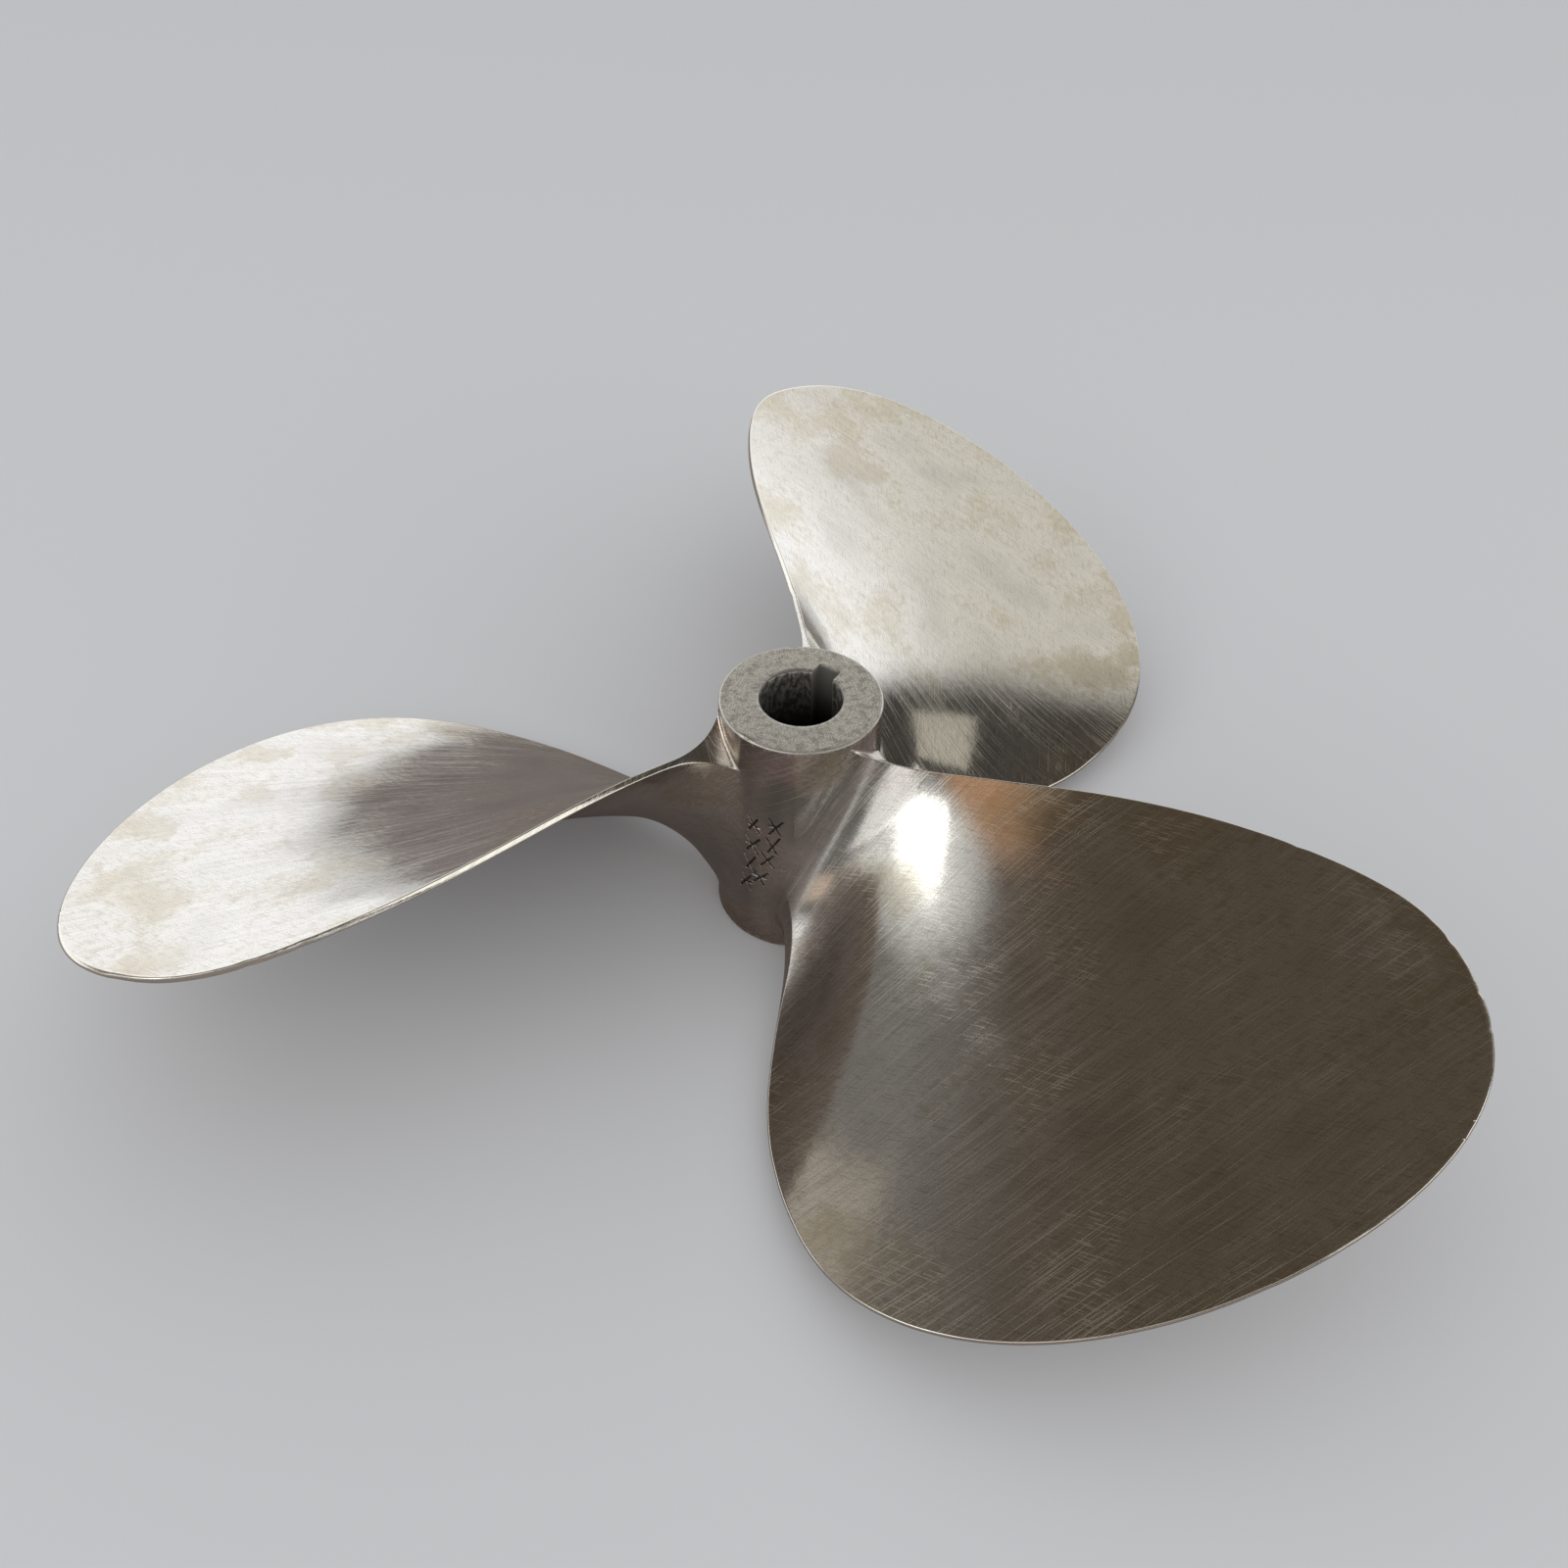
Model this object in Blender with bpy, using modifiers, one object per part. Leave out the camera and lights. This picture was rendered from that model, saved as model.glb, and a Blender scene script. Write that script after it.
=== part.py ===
"""A right-hand, three-bladed boat propeller of 18 in diameter and 16 in pitch.

It is one casting: a hub with a tapered, keyed bore and three blades that
grow out of it through fillets. The shaft axis is Z, with the aft end of the
hub, where the bore is narrowest, at the top. The origin is on the shaft axis
at the height of the centre of mass. All sizes below are in millimetres.
"""

import math

import bmesh
import bpy
import numpy as np

MM = 0.001
INCH = 25.4

# Main sizes
BLADES = 3
TIP_RADIUS = 18 * INCH / 2
HUB_LENGTH = 90.0
ORIGIN_HEIGHT = 46.7
FIRST_TIP_AZIMUTH = math.radians(-38.1)

# Hub outside, measured up from its forward face
HUB_FORWARD_RADIUS = 27.8
HUB_WAIST_RADIUS = 26.6
HUB_WAIST_HEIGHT = 52.0
HUB_AFT_RADIUS = 26.4
HUB_EDGE_ROUND = 1.2
HUB_SEGMENTS = 96

# Tapered bore and its keyway
BORE_AFT_RADIUS = 13.4
TAPER_ON_DIAMETER = 1 / 16
MOUTH_CHAMFER = 0.8
KEY_WIDTH = 5 / 16 * INCH
KEY_DEPTH = 4.2
KEY_AZIMUTH = math.radians(59)

# Blade stations, root to tip: share of the tip radius, pitch, half width (as
# an angle, before the round tip is taken off), skew, height of the generator
# line above the hub's forward face, greatest thickness
STATIONS = (
    (0.12, 360, 0.435, -23.3, 74.0, 13.5),
    (0.20, 368, 0.543, -22.5, 72.3, 12.2),
    (0.30, 379, 0.626, -21.5, 70.6, 10.6),
    (0.40, 389, 0.683, -20.3, 69.3, 9.1),
    (0.50, 398, 0.723, -18.8, 68.3, 7.7),
    (0.60, 405, 0.753, -17.1, 67.8, 6.4),
    (0.70, 409, 0.784, -15.2, 67.7, 5.2),
    (0.80, 409, 0.804, -12.0, 67.8, 4.1),
    (0.90, 406, 0.772, -6.8, 68.3, 3.1),
    (1.00, 397, 0.635, 0.0, 69.1, 2.2),
)
TIP_HALF_WIDTH = 3.0

# Both edges are 2 mm thick over most of the blade and swell towards the hub
EDGE_THICKNESS = 2.0
LEADING_SWELL = 7.0
LEADING_SWELL_REACH = 48.0
TRAILING_SWELL = 2.0
TRAILING_SWELL_REACH = 26.0

# Root fillets, each a quarter ellipse: how much it adds at the hub, and how
# far from the hub it starts. The trailing edge is a flat band that widens
# into a web: its aft corner climbs the hub, and its forward corner runs
# straight in.
FACE_REACH = 19.0
AFT_FILLET = 12.0
FORWARD_FILLET = 9.5
LEADING_REACH = 44.0
LEADING_FILLET = 22.0
LEADING_SPREAD = 13.0
LEADING_SPREAD_REACH = 50.0
AFT_LEADING_REACH = 30.0
TRAILING_REACH = 30.0
WEB_CLIMB = 10.2
WEB_FORWARD_CLIMB = 4.0
WEB_FORWARD_SPREAD = 8.0

# Mesh fineness
BURIED = 2.5
ROOT_RINGS = 11
BLADE_RINGS = 14
FACE_POINTS = 9
NOSE_STEPS = 8
BAND_STEPS = 2


def make_collections():
    """Return the collection of the part and the one of its cutters."""
    part = bpy.data.collections.new("ship_propeller")
    tools = bpy.data.collections.new("shape_tools")
    bpy.context.scene.collection.children.link(part)
    bpy.context.scene.collection.children.link(tools)
    return part, tools


def bronze():
    """Worn, pale propeller bronze."""
    material = bpy.data.materials.new("propeller_bronze")
    material.use_nodes = True
    shader = material.node_tree.nodes["Principled BSDF"]
    shader.inputs["Base Color"].default_value = (0.55, 0.50, 0.44, 1)
    shader.inputs["Metallic"].default_value = 1.0
    shader.inputs["Roughness"].default_value = 0.38
    return material


def natural_spline(xs, ys):
    """Return the natural cubic spline through the points as a function."""
    xs, ys = np.array(xs, float), np.array(ys, float)
    gap = np.diff(xs)
    slope = np.diff(ys) / gap
    system = np.eye(len(xs))
    right = np.zeros(len(xs))
    for i in range(1, len(xs) - 1):
        system[i, i - 1:i + 2] = gap[i - 1], 2 * (gap[i - 1] + gap[i]), gap[i]
        right[i] = 6 * (slope[i] - slope[i - 1])
    bend = np.linalg.solve(system, right)

    def value(x):
        i = int(np.clip(np.searchsorted(xs, x) - 1, 0, len(gap) - 1))
        a, b = xs[i + 1] - x, x - xs[i]
        curved = (bend[i] * a ** 3 + bend[i + 1] * b ** 3) / (6 * gap[i])
        left = (ys[i] / gap[i] - bend[i] * gap[i] / 6) * a
        return curved + left + (ys[i + 1] / gap[i] - bend[i + 1] * gap[i] / 6) * b

    return value


SHARES, PITCHES, WIDTHS, SKEWS, HEIGHTS, THICKNESSES = zip(*STATIONS)
pitch_at = natural_spline(SHARES, PITCHES)
width_at = natural_spline(SHARES, WIDTHS)
skew_at = natural_spline(SHARES, [math.radians(skew) for skew in SKEWS])
height_at = natural_spline(SHARES, HEIGHTS)
thickness_at = natural_spline(SHARES, THICKNESSES)
hub_radius_at = natural_spline((0, HUB_WAIST_HEIGHT, HUB_LENGTH),
                               (HUB_FORWARD_RADIUS, HUB_WAIST_RADIUS, HUB_AFT_RADIUS))


def swelling(radius, amount, reach):
    """Extra thickness of an edge, which fades out at its reach from the hub."""
    share = min(max((radius - HUB_AFT_RADIUS) / reach, 0.0), 1.0)
    return amount * (1 - share) ** 2


def section(radius):
    """Outline of the blade at a radius, as rows of five numbers.

    Each row has a place along the chord and one normal to it, how far the
    root fillets push it in those two directions where it meets the hub, and
    the distance from the hub at which the second of them starts. The outline
    runs from the aft corner of the trailing edge over its flat band, back
    along the forward face, round the leading edge and along the aft face.
    """
    share = radius / TIP_RADIUS
    pitch_angle = math.atan2(pitch_at(share), 2 * math.pi * radius)
    half_angle = width_at(share) * math.sqrt(max(0.0, 1 - share ** 2))
    half_chord = max(half_angle * radius / math.cos(pitch_angle), TIP_HALF_WIDTH)
    aft_side = EDGE_THICKNESS / 2
    band = EDGE_THICKNESS + swelling(radius, TRAILING_SWELL, TRAILING_SWELL_REACH)
    nose = EDGE_THICKNESS + swelling(radius, LEADING_SWELL, LEADING_SWELL_REACH)
    nose = min(nose, half_chord)
    leading = -half_chord + nose / 2
    belly = thickness_at(share) - (band + nose) / 2

    def depth(along):
        """Thickness at a share of the way from the nose to the band."""
        return nose + (band - nose) * along + belly * 4 * along * (1 - along)

    def face_row(along, side):
        """Row of a face, on the aft side (1) or the forward side (-1)."""
        near_band = max(0.0, 2 * along - 1) ** 2
        near_nose = (1 - along) ** 2
        if side > 0:
            normal, climb, spread = aft_side, WEB_CLIMB, AFT_FILLET
        else:
            normal, climb = aft_side - depth(along), WEB_FORWARD_CLIMB
            spread = FORWARD_FILLET + (WEB_FORWARD_SPREAD - FORWARD_FILLET) * near_band
            spread += LEADING_SPREAD * near_nose
        furthest = AFT_LEADING_REACH if side > 0 else LEADING_SPREAD_REACH
        reach = FACE_REACH + (furthest - FACE_REACH) * near_nose
        chordwise = leading + (half_chord - leading) * along
        return chordwise, normal, climb * near_band, side * spread, reach

    rows = []
    for i in range(BAND_STEPS + 1):
        across = i / BAND_STEPS
        climb = WEB_CLIMB + (WEB_FORWARD_CLIMB - WEB_CLIMB) * across
        spread = AFT_FILLET - (WEB_FORWARD_SPREAD + AFT_FILLET) * across
        rows.append((half_chord, aft_side - band * across, climb, spread, FACE_REACH))
    for i in range(1, FACE_POINTS + 1):
        rows.append(face_row((1 + math.cos(math.pi * i / (FACE_POINTS + 1))) / 2, -1))
    for i in range(NOSE_STEPS + 1):
        turn = -math.pi / 2 - math.pi * i / NOSE_STEPS
        out_chord, out_normal = math.cos(turn), math.sin(turn)
        if out_normal > 0:
            spread, reach = AFT_FILLET, AFT_LEADING_REACH
        else:
            spread, reach = FORWARD_FILLET + LEADING_SPREAD, LEADING_SPREAD_REACH
        rows.append((leading + nose / 2 * out_chord, aft_side + nose / 2 * (out_normal - 1),
                     LEADING_FILLET * out_chord, spread * out_normal, reach))
    for i in range(1, FACE_POINTS + 1):
        rows.append(face_row((1 - math.cos(math.pi * i / (FACE_POINTS + 1))) / 2, 1))
    return rows


def fillet(distance, amount, reach):
    """Growth of a quarter-ellipse fillet at a distance from the hub."""
    gap = min(max(1 - distance / reach, 0.0), 1.0)
    return amount * (1 - math.sqrt(1 - gap ** 2))


def blade_point(radius, chordwise, normal):
    """Point of the blade in cylinder coordinates: turn and height."""
    share = radius / TIP_RADIUS
    lead = pitch_at(share) / (2 * math.pi)
    pitch_angle = math.atan2(lead, radius)
    along, rise = math.cos(pitch_angle), math.sin(pitch_angle)
    turn = skew_at(share) + (chordwise * along - normal * rise) / radius
    height = height_at(share) + lead * skew_at(share) + chordwise * rise + normal * along
    return turn, height


def blade_ring(radius):
    """One closed ring of the blade, with its root fillets grown on."""
    ring = []
    for chordwise, normal, chord_growth, normal_growth, reach in section(radius):
        height = blade_point(radius, chordwise, normal)[1]
        distance = radius - hub_radius_at(height)
        chord_reach = TRAILING_REACH if chord_growth > 0 else LEADING_REACH
        chordwise += fillet(distance, chord_growth, chord_reach)
        normal += fillet(distance, normal_growth, reach)
        turn, height = blade_point(radius, chordwise, normal)
        azimuth = FIRST_TIP_AZIMUTH + turn
        ring.append((radius * math.cos(azimuth), radius * math.sin(azimuth), height))
    return ring


def blade_radii():
    """Radii of the blade's rings: closer at the fillet and at the tip."""
    buried = HUB_AFT_RADIUS - BURIED
    root = [HUB_AFT_RADIUS + LEADING_REACH * (1 - math.cos(math.pi / 2 * i / ROOT_RINGS))
            for i in range(ROOT_RINGS)]
    start = root[-1] + LEADING_REACH / ROOT_RINGS
    outer = [start + (TIP_RADIUS - start) * math.sin(math.pi / 2 * i / (BLADE_RINGS - 1))
             for i in range(BLADE_RINGS)]
    return [buried] + root + outer


def add_mesh_object(name, mesh, collection):
    piece = bpy.data.objects.new(name, mesh)
    collection.objects.link(piece)
    return piece


def make_blade(number, tools):
    """A blade lofted through its rings, turned to its place round the hub."""
    shape = bmesh.new()
    rings = [[shape.verts.new(np.array(point) * MM) for point in blade_ring(radius)]
             for radius in blade_radii()]
    for inner, outer in zip(rings, rings[1:]):
        for i in range(len(inner)):
            j = (i + 1) % len(inner)
            shape.faces.new((inner[i], inner[j], outer[j], outer[i]))
    shape.faces.new(rings[0][::-1])
    shape.faces.new(rings[-1])
    bmesh.ops.recalc_face_normals(shape, faces=shape.faces)
    mesh = bpy.data.meshes.new(f"blade_{number}")
    shape.to_mesh(mesh)
    shape.free()
    blade = add_mesh_object(f"blade_{number}", mesh, tools)
    blade.rotation_euler.z = 2 * math.pi * (number - 1) / BLADES
    return blade


def turned(name, profile, segments, collection):
    """Turn a profile, given from top to bottom on its outer side, round Z."""
    mesh = bpy.data.meshes.new(name)
    points = [(radius * MM, 0, height * MM) for radius, height in profile]
    mesh.from_pydata(points, [(i, i + 1) for i in range(len(points) - 1)], [])
    piece = add_mesh_object(name, mesh, collection)
    screw = piece.modifiers.new("turn", "SCREW")
    screw.axis = "Z"
    screw.steps = segments
    screw.render_steps = segments
    screw.use_merge_vertices = True
    screw.merge_threshold = 0.00001
    return piece


def hub_profile():
    """Outside of the hub, waisted, with rounded rims."""
    def corner(radius, height, start):
        centre = (radius - HUB_EDGE_ROUND, height)
        steps = [start - math.pi / 2 * i / 3 for i in range(4)]
        return [(centre[0] + HUB_EDGE_ROUND * math.cos(a), centre[1] + HUB_EDGE_ROUND * math.sin(a))
                for a in steps]

    heights = np.linspace(HUB_LENGTH - 10, 10, 5)
    side = [(hub_radius_at(height), height) for height in heights]
    top = corner(HUB_AFT_RADIUS, HUB_LENGTH - HUB_EDGE_ROUND, math.pi / 2)
    bottom = corner(HUB_FORWARD_RADIUS, HUB_EDGE_ROUND, 0)
    return [(0, HUB_LENGTH)] + top + side + bottom + [(0, 0)]


def bore_radius_at(height):
    return BORE_AFT_RADIUS + TAPER_ON_DIAMETER / 2 * (HUB_LENGTH - height)


def bore_profile():
    """Tapered bore with a chamfer at each mouth, run out past both faces."""
    past = 2.0
    aft, forward = bore_radius_at(HUB_LENGTH), bore_radius_at(0)
    return [(0, HUB_LENGTH + past), (aft + MOUTH_CHAMFER + past, HUB_LENGTH + past),
            (aft, HUB_LENGTH - MOUTH_CHAMFER), (forward, MOUTH_CHAMFER),
            (forward + MOUTH_CHAMFER + past, -past), (0, -past)]


def make_keyway(tools):
    """A long box that cuts the keyway parallel to the taper."""
    bpy.ops.mesh.primitive_cube_add(size=1)
    key = bpy.context.object
    key.name = "keyway"
    for collection in key.users_collection:
        collection.objects.unlink(key)
    tools.objects.link(key)
    reach = 10.0
    middle = bore_radius_at(HUB_LENGTH / 2) + KEY_DEPTH - reach / 2
    key.scale = (reach * MM, KEY_WIDTH * MM, (HUB_LENGTH + 20) * MM)
    key.rotation_euler = (0, -math.atan(TAPER_ON_DIAMETER / 2), KEY_AZIMUTH)
    key.location = (middle * MM * math.cos(KEY_AZIMUTH), middle * MM * math.sin(KEY_AZIMUTH),
                    HUB_LENGTH / 2 * MM)
    return key


def combine(body, tool, operation):
    """Join a tool to the body, or cut it out of it."""
    change = body.modifiers.new(f"{operation.lower()}_{tool.name}", "BOOLEAN")
    change.object = tool
    change.operation = operation
    change.solver = "EXACT"
    tool.hide_render = True
    tool.display_type = "WIRE"


def main():
    for old in list(bpy.data.objects):
        bpy.data.objects.remove(old, do_unlink=True)
    part, tools = make_collections()
    base = bpy.data.objects.new("forward_face_datum", None)
    base.location.z = -ORIGIN_HEIGHT * MM
    part.objects.link(base)
    casting = turned("propeller_casting", hub_profile(), HUB_SEGMENTS, part)
    casting.data.materials.append(bronze())
    blades = [make_blade(number, tools) for number in range(1, BLADES + 1)]
    bore = turned("bore", bore_profile(), HUB_SEGMENTS, tools)
    keyway = make_keyway(tools)
    for blade in blades:
        combine(casting, blade, "UNION")
    combine(casting, bore, "DIFFERENCE")
    combine(casting, keyway, "DIFFERENCE")
    for piece in [casting, bore, keyway] + blades:
        piece.parent = base


main()
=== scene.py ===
"""A worn bronze boat propeller lying on a pale floor.

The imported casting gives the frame: where the hub stands and how large it is.
The fine casting here follows the same design, with the same named sizes, and
takes its place. All its sizes are in millimetres above the hub's forward
face; it is moved to the frame, in metres, when its mesh is made.
"""

import math
import random

import bmesh
import bpy
import numpy as np
from mathutils import Matrix, Vector, noise
from mathutils.geometry import delaunay_2d_cdt


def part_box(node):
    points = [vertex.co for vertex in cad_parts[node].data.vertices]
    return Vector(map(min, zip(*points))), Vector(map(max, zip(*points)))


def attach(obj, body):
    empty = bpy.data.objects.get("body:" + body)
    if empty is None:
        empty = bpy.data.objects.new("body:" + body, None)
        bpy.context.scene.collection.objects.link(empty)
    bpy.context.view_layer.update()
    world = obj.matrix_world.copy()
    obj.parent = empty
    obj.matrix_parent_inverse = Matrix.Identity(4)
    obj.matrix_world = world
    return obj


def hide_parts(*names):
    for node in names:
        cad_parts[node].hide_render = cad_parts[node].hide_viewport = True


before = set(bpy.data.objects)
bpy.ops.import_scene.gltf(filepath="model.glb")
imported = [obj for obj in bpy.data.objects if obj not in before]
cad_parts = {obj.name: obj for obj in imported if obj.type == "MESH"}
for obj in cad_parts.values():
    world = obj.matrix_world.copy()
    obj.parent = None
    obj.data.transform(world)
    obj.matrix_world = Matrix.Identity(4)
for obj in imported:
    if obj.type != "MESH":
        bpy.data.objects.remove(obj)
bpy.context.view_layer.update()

MM = 0.001
INCH = 25.4

# The casting's main sizes
BLADES = 3
TIP_RADIUS = 18 * INCH / 2
HUB_LENGTH = 90.0
HUB_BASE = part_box("propeller_casting")[0].z / MM
FIRST_TIP_AZIMUTH = math.radians(-38.1)
HUB_FORWARD_RADIUS = 27.8
HUB_WAIST_RADIUS = 26.6
HUB_WAIST_HEIGHT = 52.0
HUB_AFT_RADIUS = 26.4
HUB_MEAN_RADIUS = 26.9
HUB_EDGE_ROUND = 0.8
BORE_AFT_RADIUS = 13.4
TAPER_ON_DIAMETER = 1 / 16
MOUTH_CHAMFER = 0.45
KEY_WIDTH = 5 / 16 * INCH
KEY_DEPTH = 4.2
KEY_AZIMUTH = math.radians(59)

# Blade stations, root to tip: share of the tip radius, pitch, half width (as
# an angle, before the round tip is taken off), skew, height of the generator
# line above the hub's forward face, greatest thickness
STATIONS = (
    (0.12, 360, 0.435, -23.3, 74.0, 13.5),
    (0.20, 368, 0.543, -22.5, 72.3, 12.2),
    (0.30, 379, 0.626, -21.5, 70.6, 10.6),
    (0.40, 389, 0.683, -20.3, 69.3, 9.1),
    (0.50, 398, 0.723, -18.8, 68.3, 7.7),
    (0.60, 405, 0.753, -17.1, 67.8, 6.4),
    (0.70, 409, 0.784, -15.2, 67.7, 5.2),
    (0.80, 409, 0.804, -12.0, 67.8, 4.1),
    (0.90, 406, 0.772, -6.8, 68.3, 3.1),
    (1.00, 397, 0.635, 0.0, 69.1, 2.2),
)
TIP_HALF_WIDTH = 3.0
EDGE_THICKNESS = 2.0
LEADING_SWELL = 7.0
LEADING_SWELL_REACH = 48.0
TRAILING_SWELL = 2.0
TRAILING_SWELL_REACH = 26.0

# Root fillets: how much each adds at the hub, and how far out it starts
FACE_REACH = 19.0
AFT_FILLET = 12.0
FORWARD_FILLET = 9.5
LEADING_REACH = 44.0
LEADING_FILLET = 22.0
LEADING_SPREAD = 13.0
LEADING_SPREAD_REACH = 50.0
AFT_LEADING_REACH = 30.0
TRAILING_REACH = 30.0
WEB_CLIMB = 8.3
WEB_FORWARD_CLIMB = 4.0
WEB_FORWARD_SPREAD = 8.0

# The edges' finish: the trailing band keeps a small round at its corners and
# turns into a full round towards the tip
BAND_ROUND = 0.4
BAND_SQUARENESS = 5.0
BAND_FADE = 0.22
INSET_FADE = 20.0

# Wear of the outline, with dents: blade, edge (-1 leading, 1 trailing),
# distance from the hub, half width along the outline, depth. Small ones are
# drawn by chance.
EDGE_WEAR = 0.2
DENTS = (
    (0, 1, 131.0, 1.6, 0.25), (0, 1, 178.0, 1.8, 0.25), (0, 1, 189.0, 1.6, 0.35), (0, 1, 195.0, 1.5, 0.25),
    (0, -1, 189.0, 1.8, 0.25), (1, 1, 36.7, 1.8, 0.45), (1, -1, 120.0, 2.0, 0.3),
    (2, 1, 157.3, 1.8, 0.4), (2, 1, 142.3, 1.8, 0.4), (2, -1, 176.0, 2.0, 0.3),
)
DENT_FADE = 8
SMALL_DENTS = 12
SMALL_DENT_WIDTHS = (1.6, 4.0)
SMALL_DENT_DEPTHS = (0.03, 0.09)

# Unevenness left by hand grinding, as waves over the blades' faces
WAVES = 6
WAVE_LENGTHS = (38.0, 90.0)
WAVE_HEIGHT = 0.03
EVEN_BORDER = 16.0

# Directions of the brushing: each blade's angle to its radius, in the plane
# through its middle, and the climb round the hub's side. Strokes bend a little.
BRUSH_ANGLES = np.radians((75, 75, 0))
MIDDLE_PITCH = math.radians(24)
MIDDLE_HEIGHT = 68.0
HUB_BRUSH_CLIMB = math.radians(38)
BRUSH_BEND = (0.02, 2.0)
BRUSH_APART = 600.0

# Stains that have their own places: middle in the casting's millimetres,
# radius; and places scuffed dull
STAINS = (
    ((-160, 28, 33), 12), ((-182, -6, 46), 12), ((-208, -31, 54), 10), ((-152, -2, 44), 11),
    ((-148, 49, 23), 11), ((-191, 24, 37), 11), ((-214, -60, 63), 6), ((-180, -112, 80), 20),
    ((132, 130, 27), 11), ((135, 108, 20), 8), ((16, 172, 72), 17), ((12, 160, 76), 11),
)
SCUFFS = (((53, -84, 48), 13), ((57, -104, 43), 11), ((170, -80, 75), 22))
STAIN_WARP = ((0.07, 9.0), (0.22, 4.0))
CLOUD_GRAIN = 0.035
CLOUD_FRACTAL = (0.9, 2.1, 4)
CLOUD_SCUFFS = 0.5
EDGE_TAN = 0.35
EDGE_TAN_REACH = 36.0
BLADE_ROOT_REACH = 40.0
FAR_FROM_EDGE = 50.0

# Mesh fineness
ROOT_RINGS = 28
ROOT_REACH = 50.0
BLADE_RINGS = 112
EDGE_SHARES = (0.0, 0.0012, 0.004, 0.01, 0.02)
FACE_COLUMNS = 56
FACE_COLUMNS_FROM = 0.25
EDGE_STEPS = 18
TIP_EVENING = 0.1
WELD = 0.0008
HUB_TURNS = 150
HUB_TURN = 2 * math.pi / HUB_TURNS
HUB_ANGLES = KEY_AZIMUTH + np.arange(HUB_TURNS) * HUB_TURN
SIDE_ROWS = 44
ROOT_CLEARANCE = 0.7
KEY_EDGE_TURN = 7
KEY_CORNER_TURN = 3
RIM_STEPS = 5
FACE_STEPS = 10
BORE_STEPS = 24
SOLVING_ROUNDS = 6
SAME_POINT = 1e-7
SHARP_ANGLE = math.radians(32)

# The hub's painted reflection tone fades from its side into the blades, and the
# shading of its side leans towards that of the fillets close by
HUB_TONE_REACH = 30.0
ROOT_TONE = 0.4
ROOT_TONE_REACH = 15.0
EASE_REACH = 9.0
EASE_SPREAD = 1.5

# What is machined, as the mesh's points say it
HUB_ENDS, BORE, KEYWAY = 1.0, 2.0, 3.0

# The hub's side is unrolled from a seam between two blades
SEAM_AZIMUTH = KEY_AZIMUTH - 25 * HUB_TURN

# Strike marks on the hub's side: crosses in two columns, with every cell's
# place on the unrolled side (azimuth times the mean radius, height)
STRIKE_CELLS = (
    (111.4, 54.0), (111.2, 45.0), (110.4, 35.8), (108.9, 26.6),
    (119.2, 56.4), (118.6, 47.8), (117.2, 39.8), (114.4, 31.2),
)
STRIKE_SIZE = (2.2, 3.3)
STRIKE_JITTER = 0.6
STRIKE_WIDTH = 0.8
STRIKE_DEPTH = 0.45
STRIKE_LIP = 0.22
MARKS_LOW = (104.0, 21.0)
MARKS_HIGH = (123.4, 61.5)
MARK_COLUMNS = 92
MARK_ROWS = 132
MARK_MARGIN = 0.5
MARK_CLEARANCE = 0.3

# Wear of the hub's rims, told by a distance from the worn edge: how far out on
# the round its middle is, how fast the distance grows over the face, the least
# there, on the side and at the bore's mouth
RIM_MIDDLE, RIM_PACE, RIM_LEAST, RIM_SIDE_LEAST = 0.5, 1.6, 0.25, 0.75
# At the bore's mouth this least distance paints a thin bright line, partly wear and partly a painted
# highlight
MOUTH_LEAST = 0.05
# Dents in the rims: azimuth in degrees, half width, depth
RIM_DENTS = ((179, 1.2, 0.5), (-129, 1.6, 0.6), (-20, 1.4, 0.5), (96, 1.5, 0.5), (-72, 1.0, 0.35))
SEED = 5


def natural_spline(xs, ys):
    """Return the natural cubic spline through the points as a function."""
    xs, ys = np.array(xs, float), np.array(ys, float)
    gap = np.diff(xs)
    slope = np.diff(ys) / gap
    system = np.eye(len(xs))
    right = np.zeros(len(xs))
    for i in range(1, len(xs) - 1):
        system[i, i - 1:i + 2] = gap[i - 1], 2 * (gap[i - 1] + gap[i]), gap[i]
        right[i] = 6 * (slope[i] - slope[i - 1])
    bend = np.linalg.solve(system, right)

    def value(x):
        i = np.clip(np.searchsorted(xs, x) - 1, 0, len(gap) - 1)
        a, b = xs[i + 1] - x, x - xs[i]
        curved = (bend[i] * a ** 3 + bend[i + 1] * b ** 3) / (6 * gap[i])
        left = (ys[i] / gap[i] - bend[i] * gap[i] / 6) * a
        return curved + left + (ys[i + 1] / gap[i] - bend[i + 1] * gap[i] / 6) * b

    return value


SHARES, PITCHES, WIDTHS, SKEWS, HEIGHTS, THICKNESSES = zip(*STATIONS)
pitch_at = natural_spline(SHARES, PITCHES)
width_at = natural_spline(SHARES, WIDTHS)
skew_at = natural_spline(SHARES, [math.radians(skew) for skew in SKEWS])
height_at = natural_spline(SHARES, HEIGHTS)
thickness_at = natural_spline(SHARES, THICKNESSES)
hub_radius_at = natural_spline((0, HUB_WAIST_HEIGHT, HUB_LENGTH),
                               (HUB_FORWARD_RADIUS, HUB_WAIST_RADIUS, HUB_AFT_RADIUS))


def blade_turn(blade):
    return FIRST_TIP_AZIMUTH + 2 * math.pi * blade / BLADES


def chance_for(blade, number):
    return random.Random(SEED * 100 + blade * 10 + number)


def smooth_step(x):
    x = np.clip(x, 0.0, 1.0)
    return x * x * (3 - 2 * x)


def swelling(radius, amount, reach):
    """Extra thickness of an edge, which fades out at its reach from the hub."""
    share = np.clip((radius - HUB_AFT_RADIUS) / reach, 0.0, 1.0)
    return amount * (1 - share) ** 2


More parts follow.
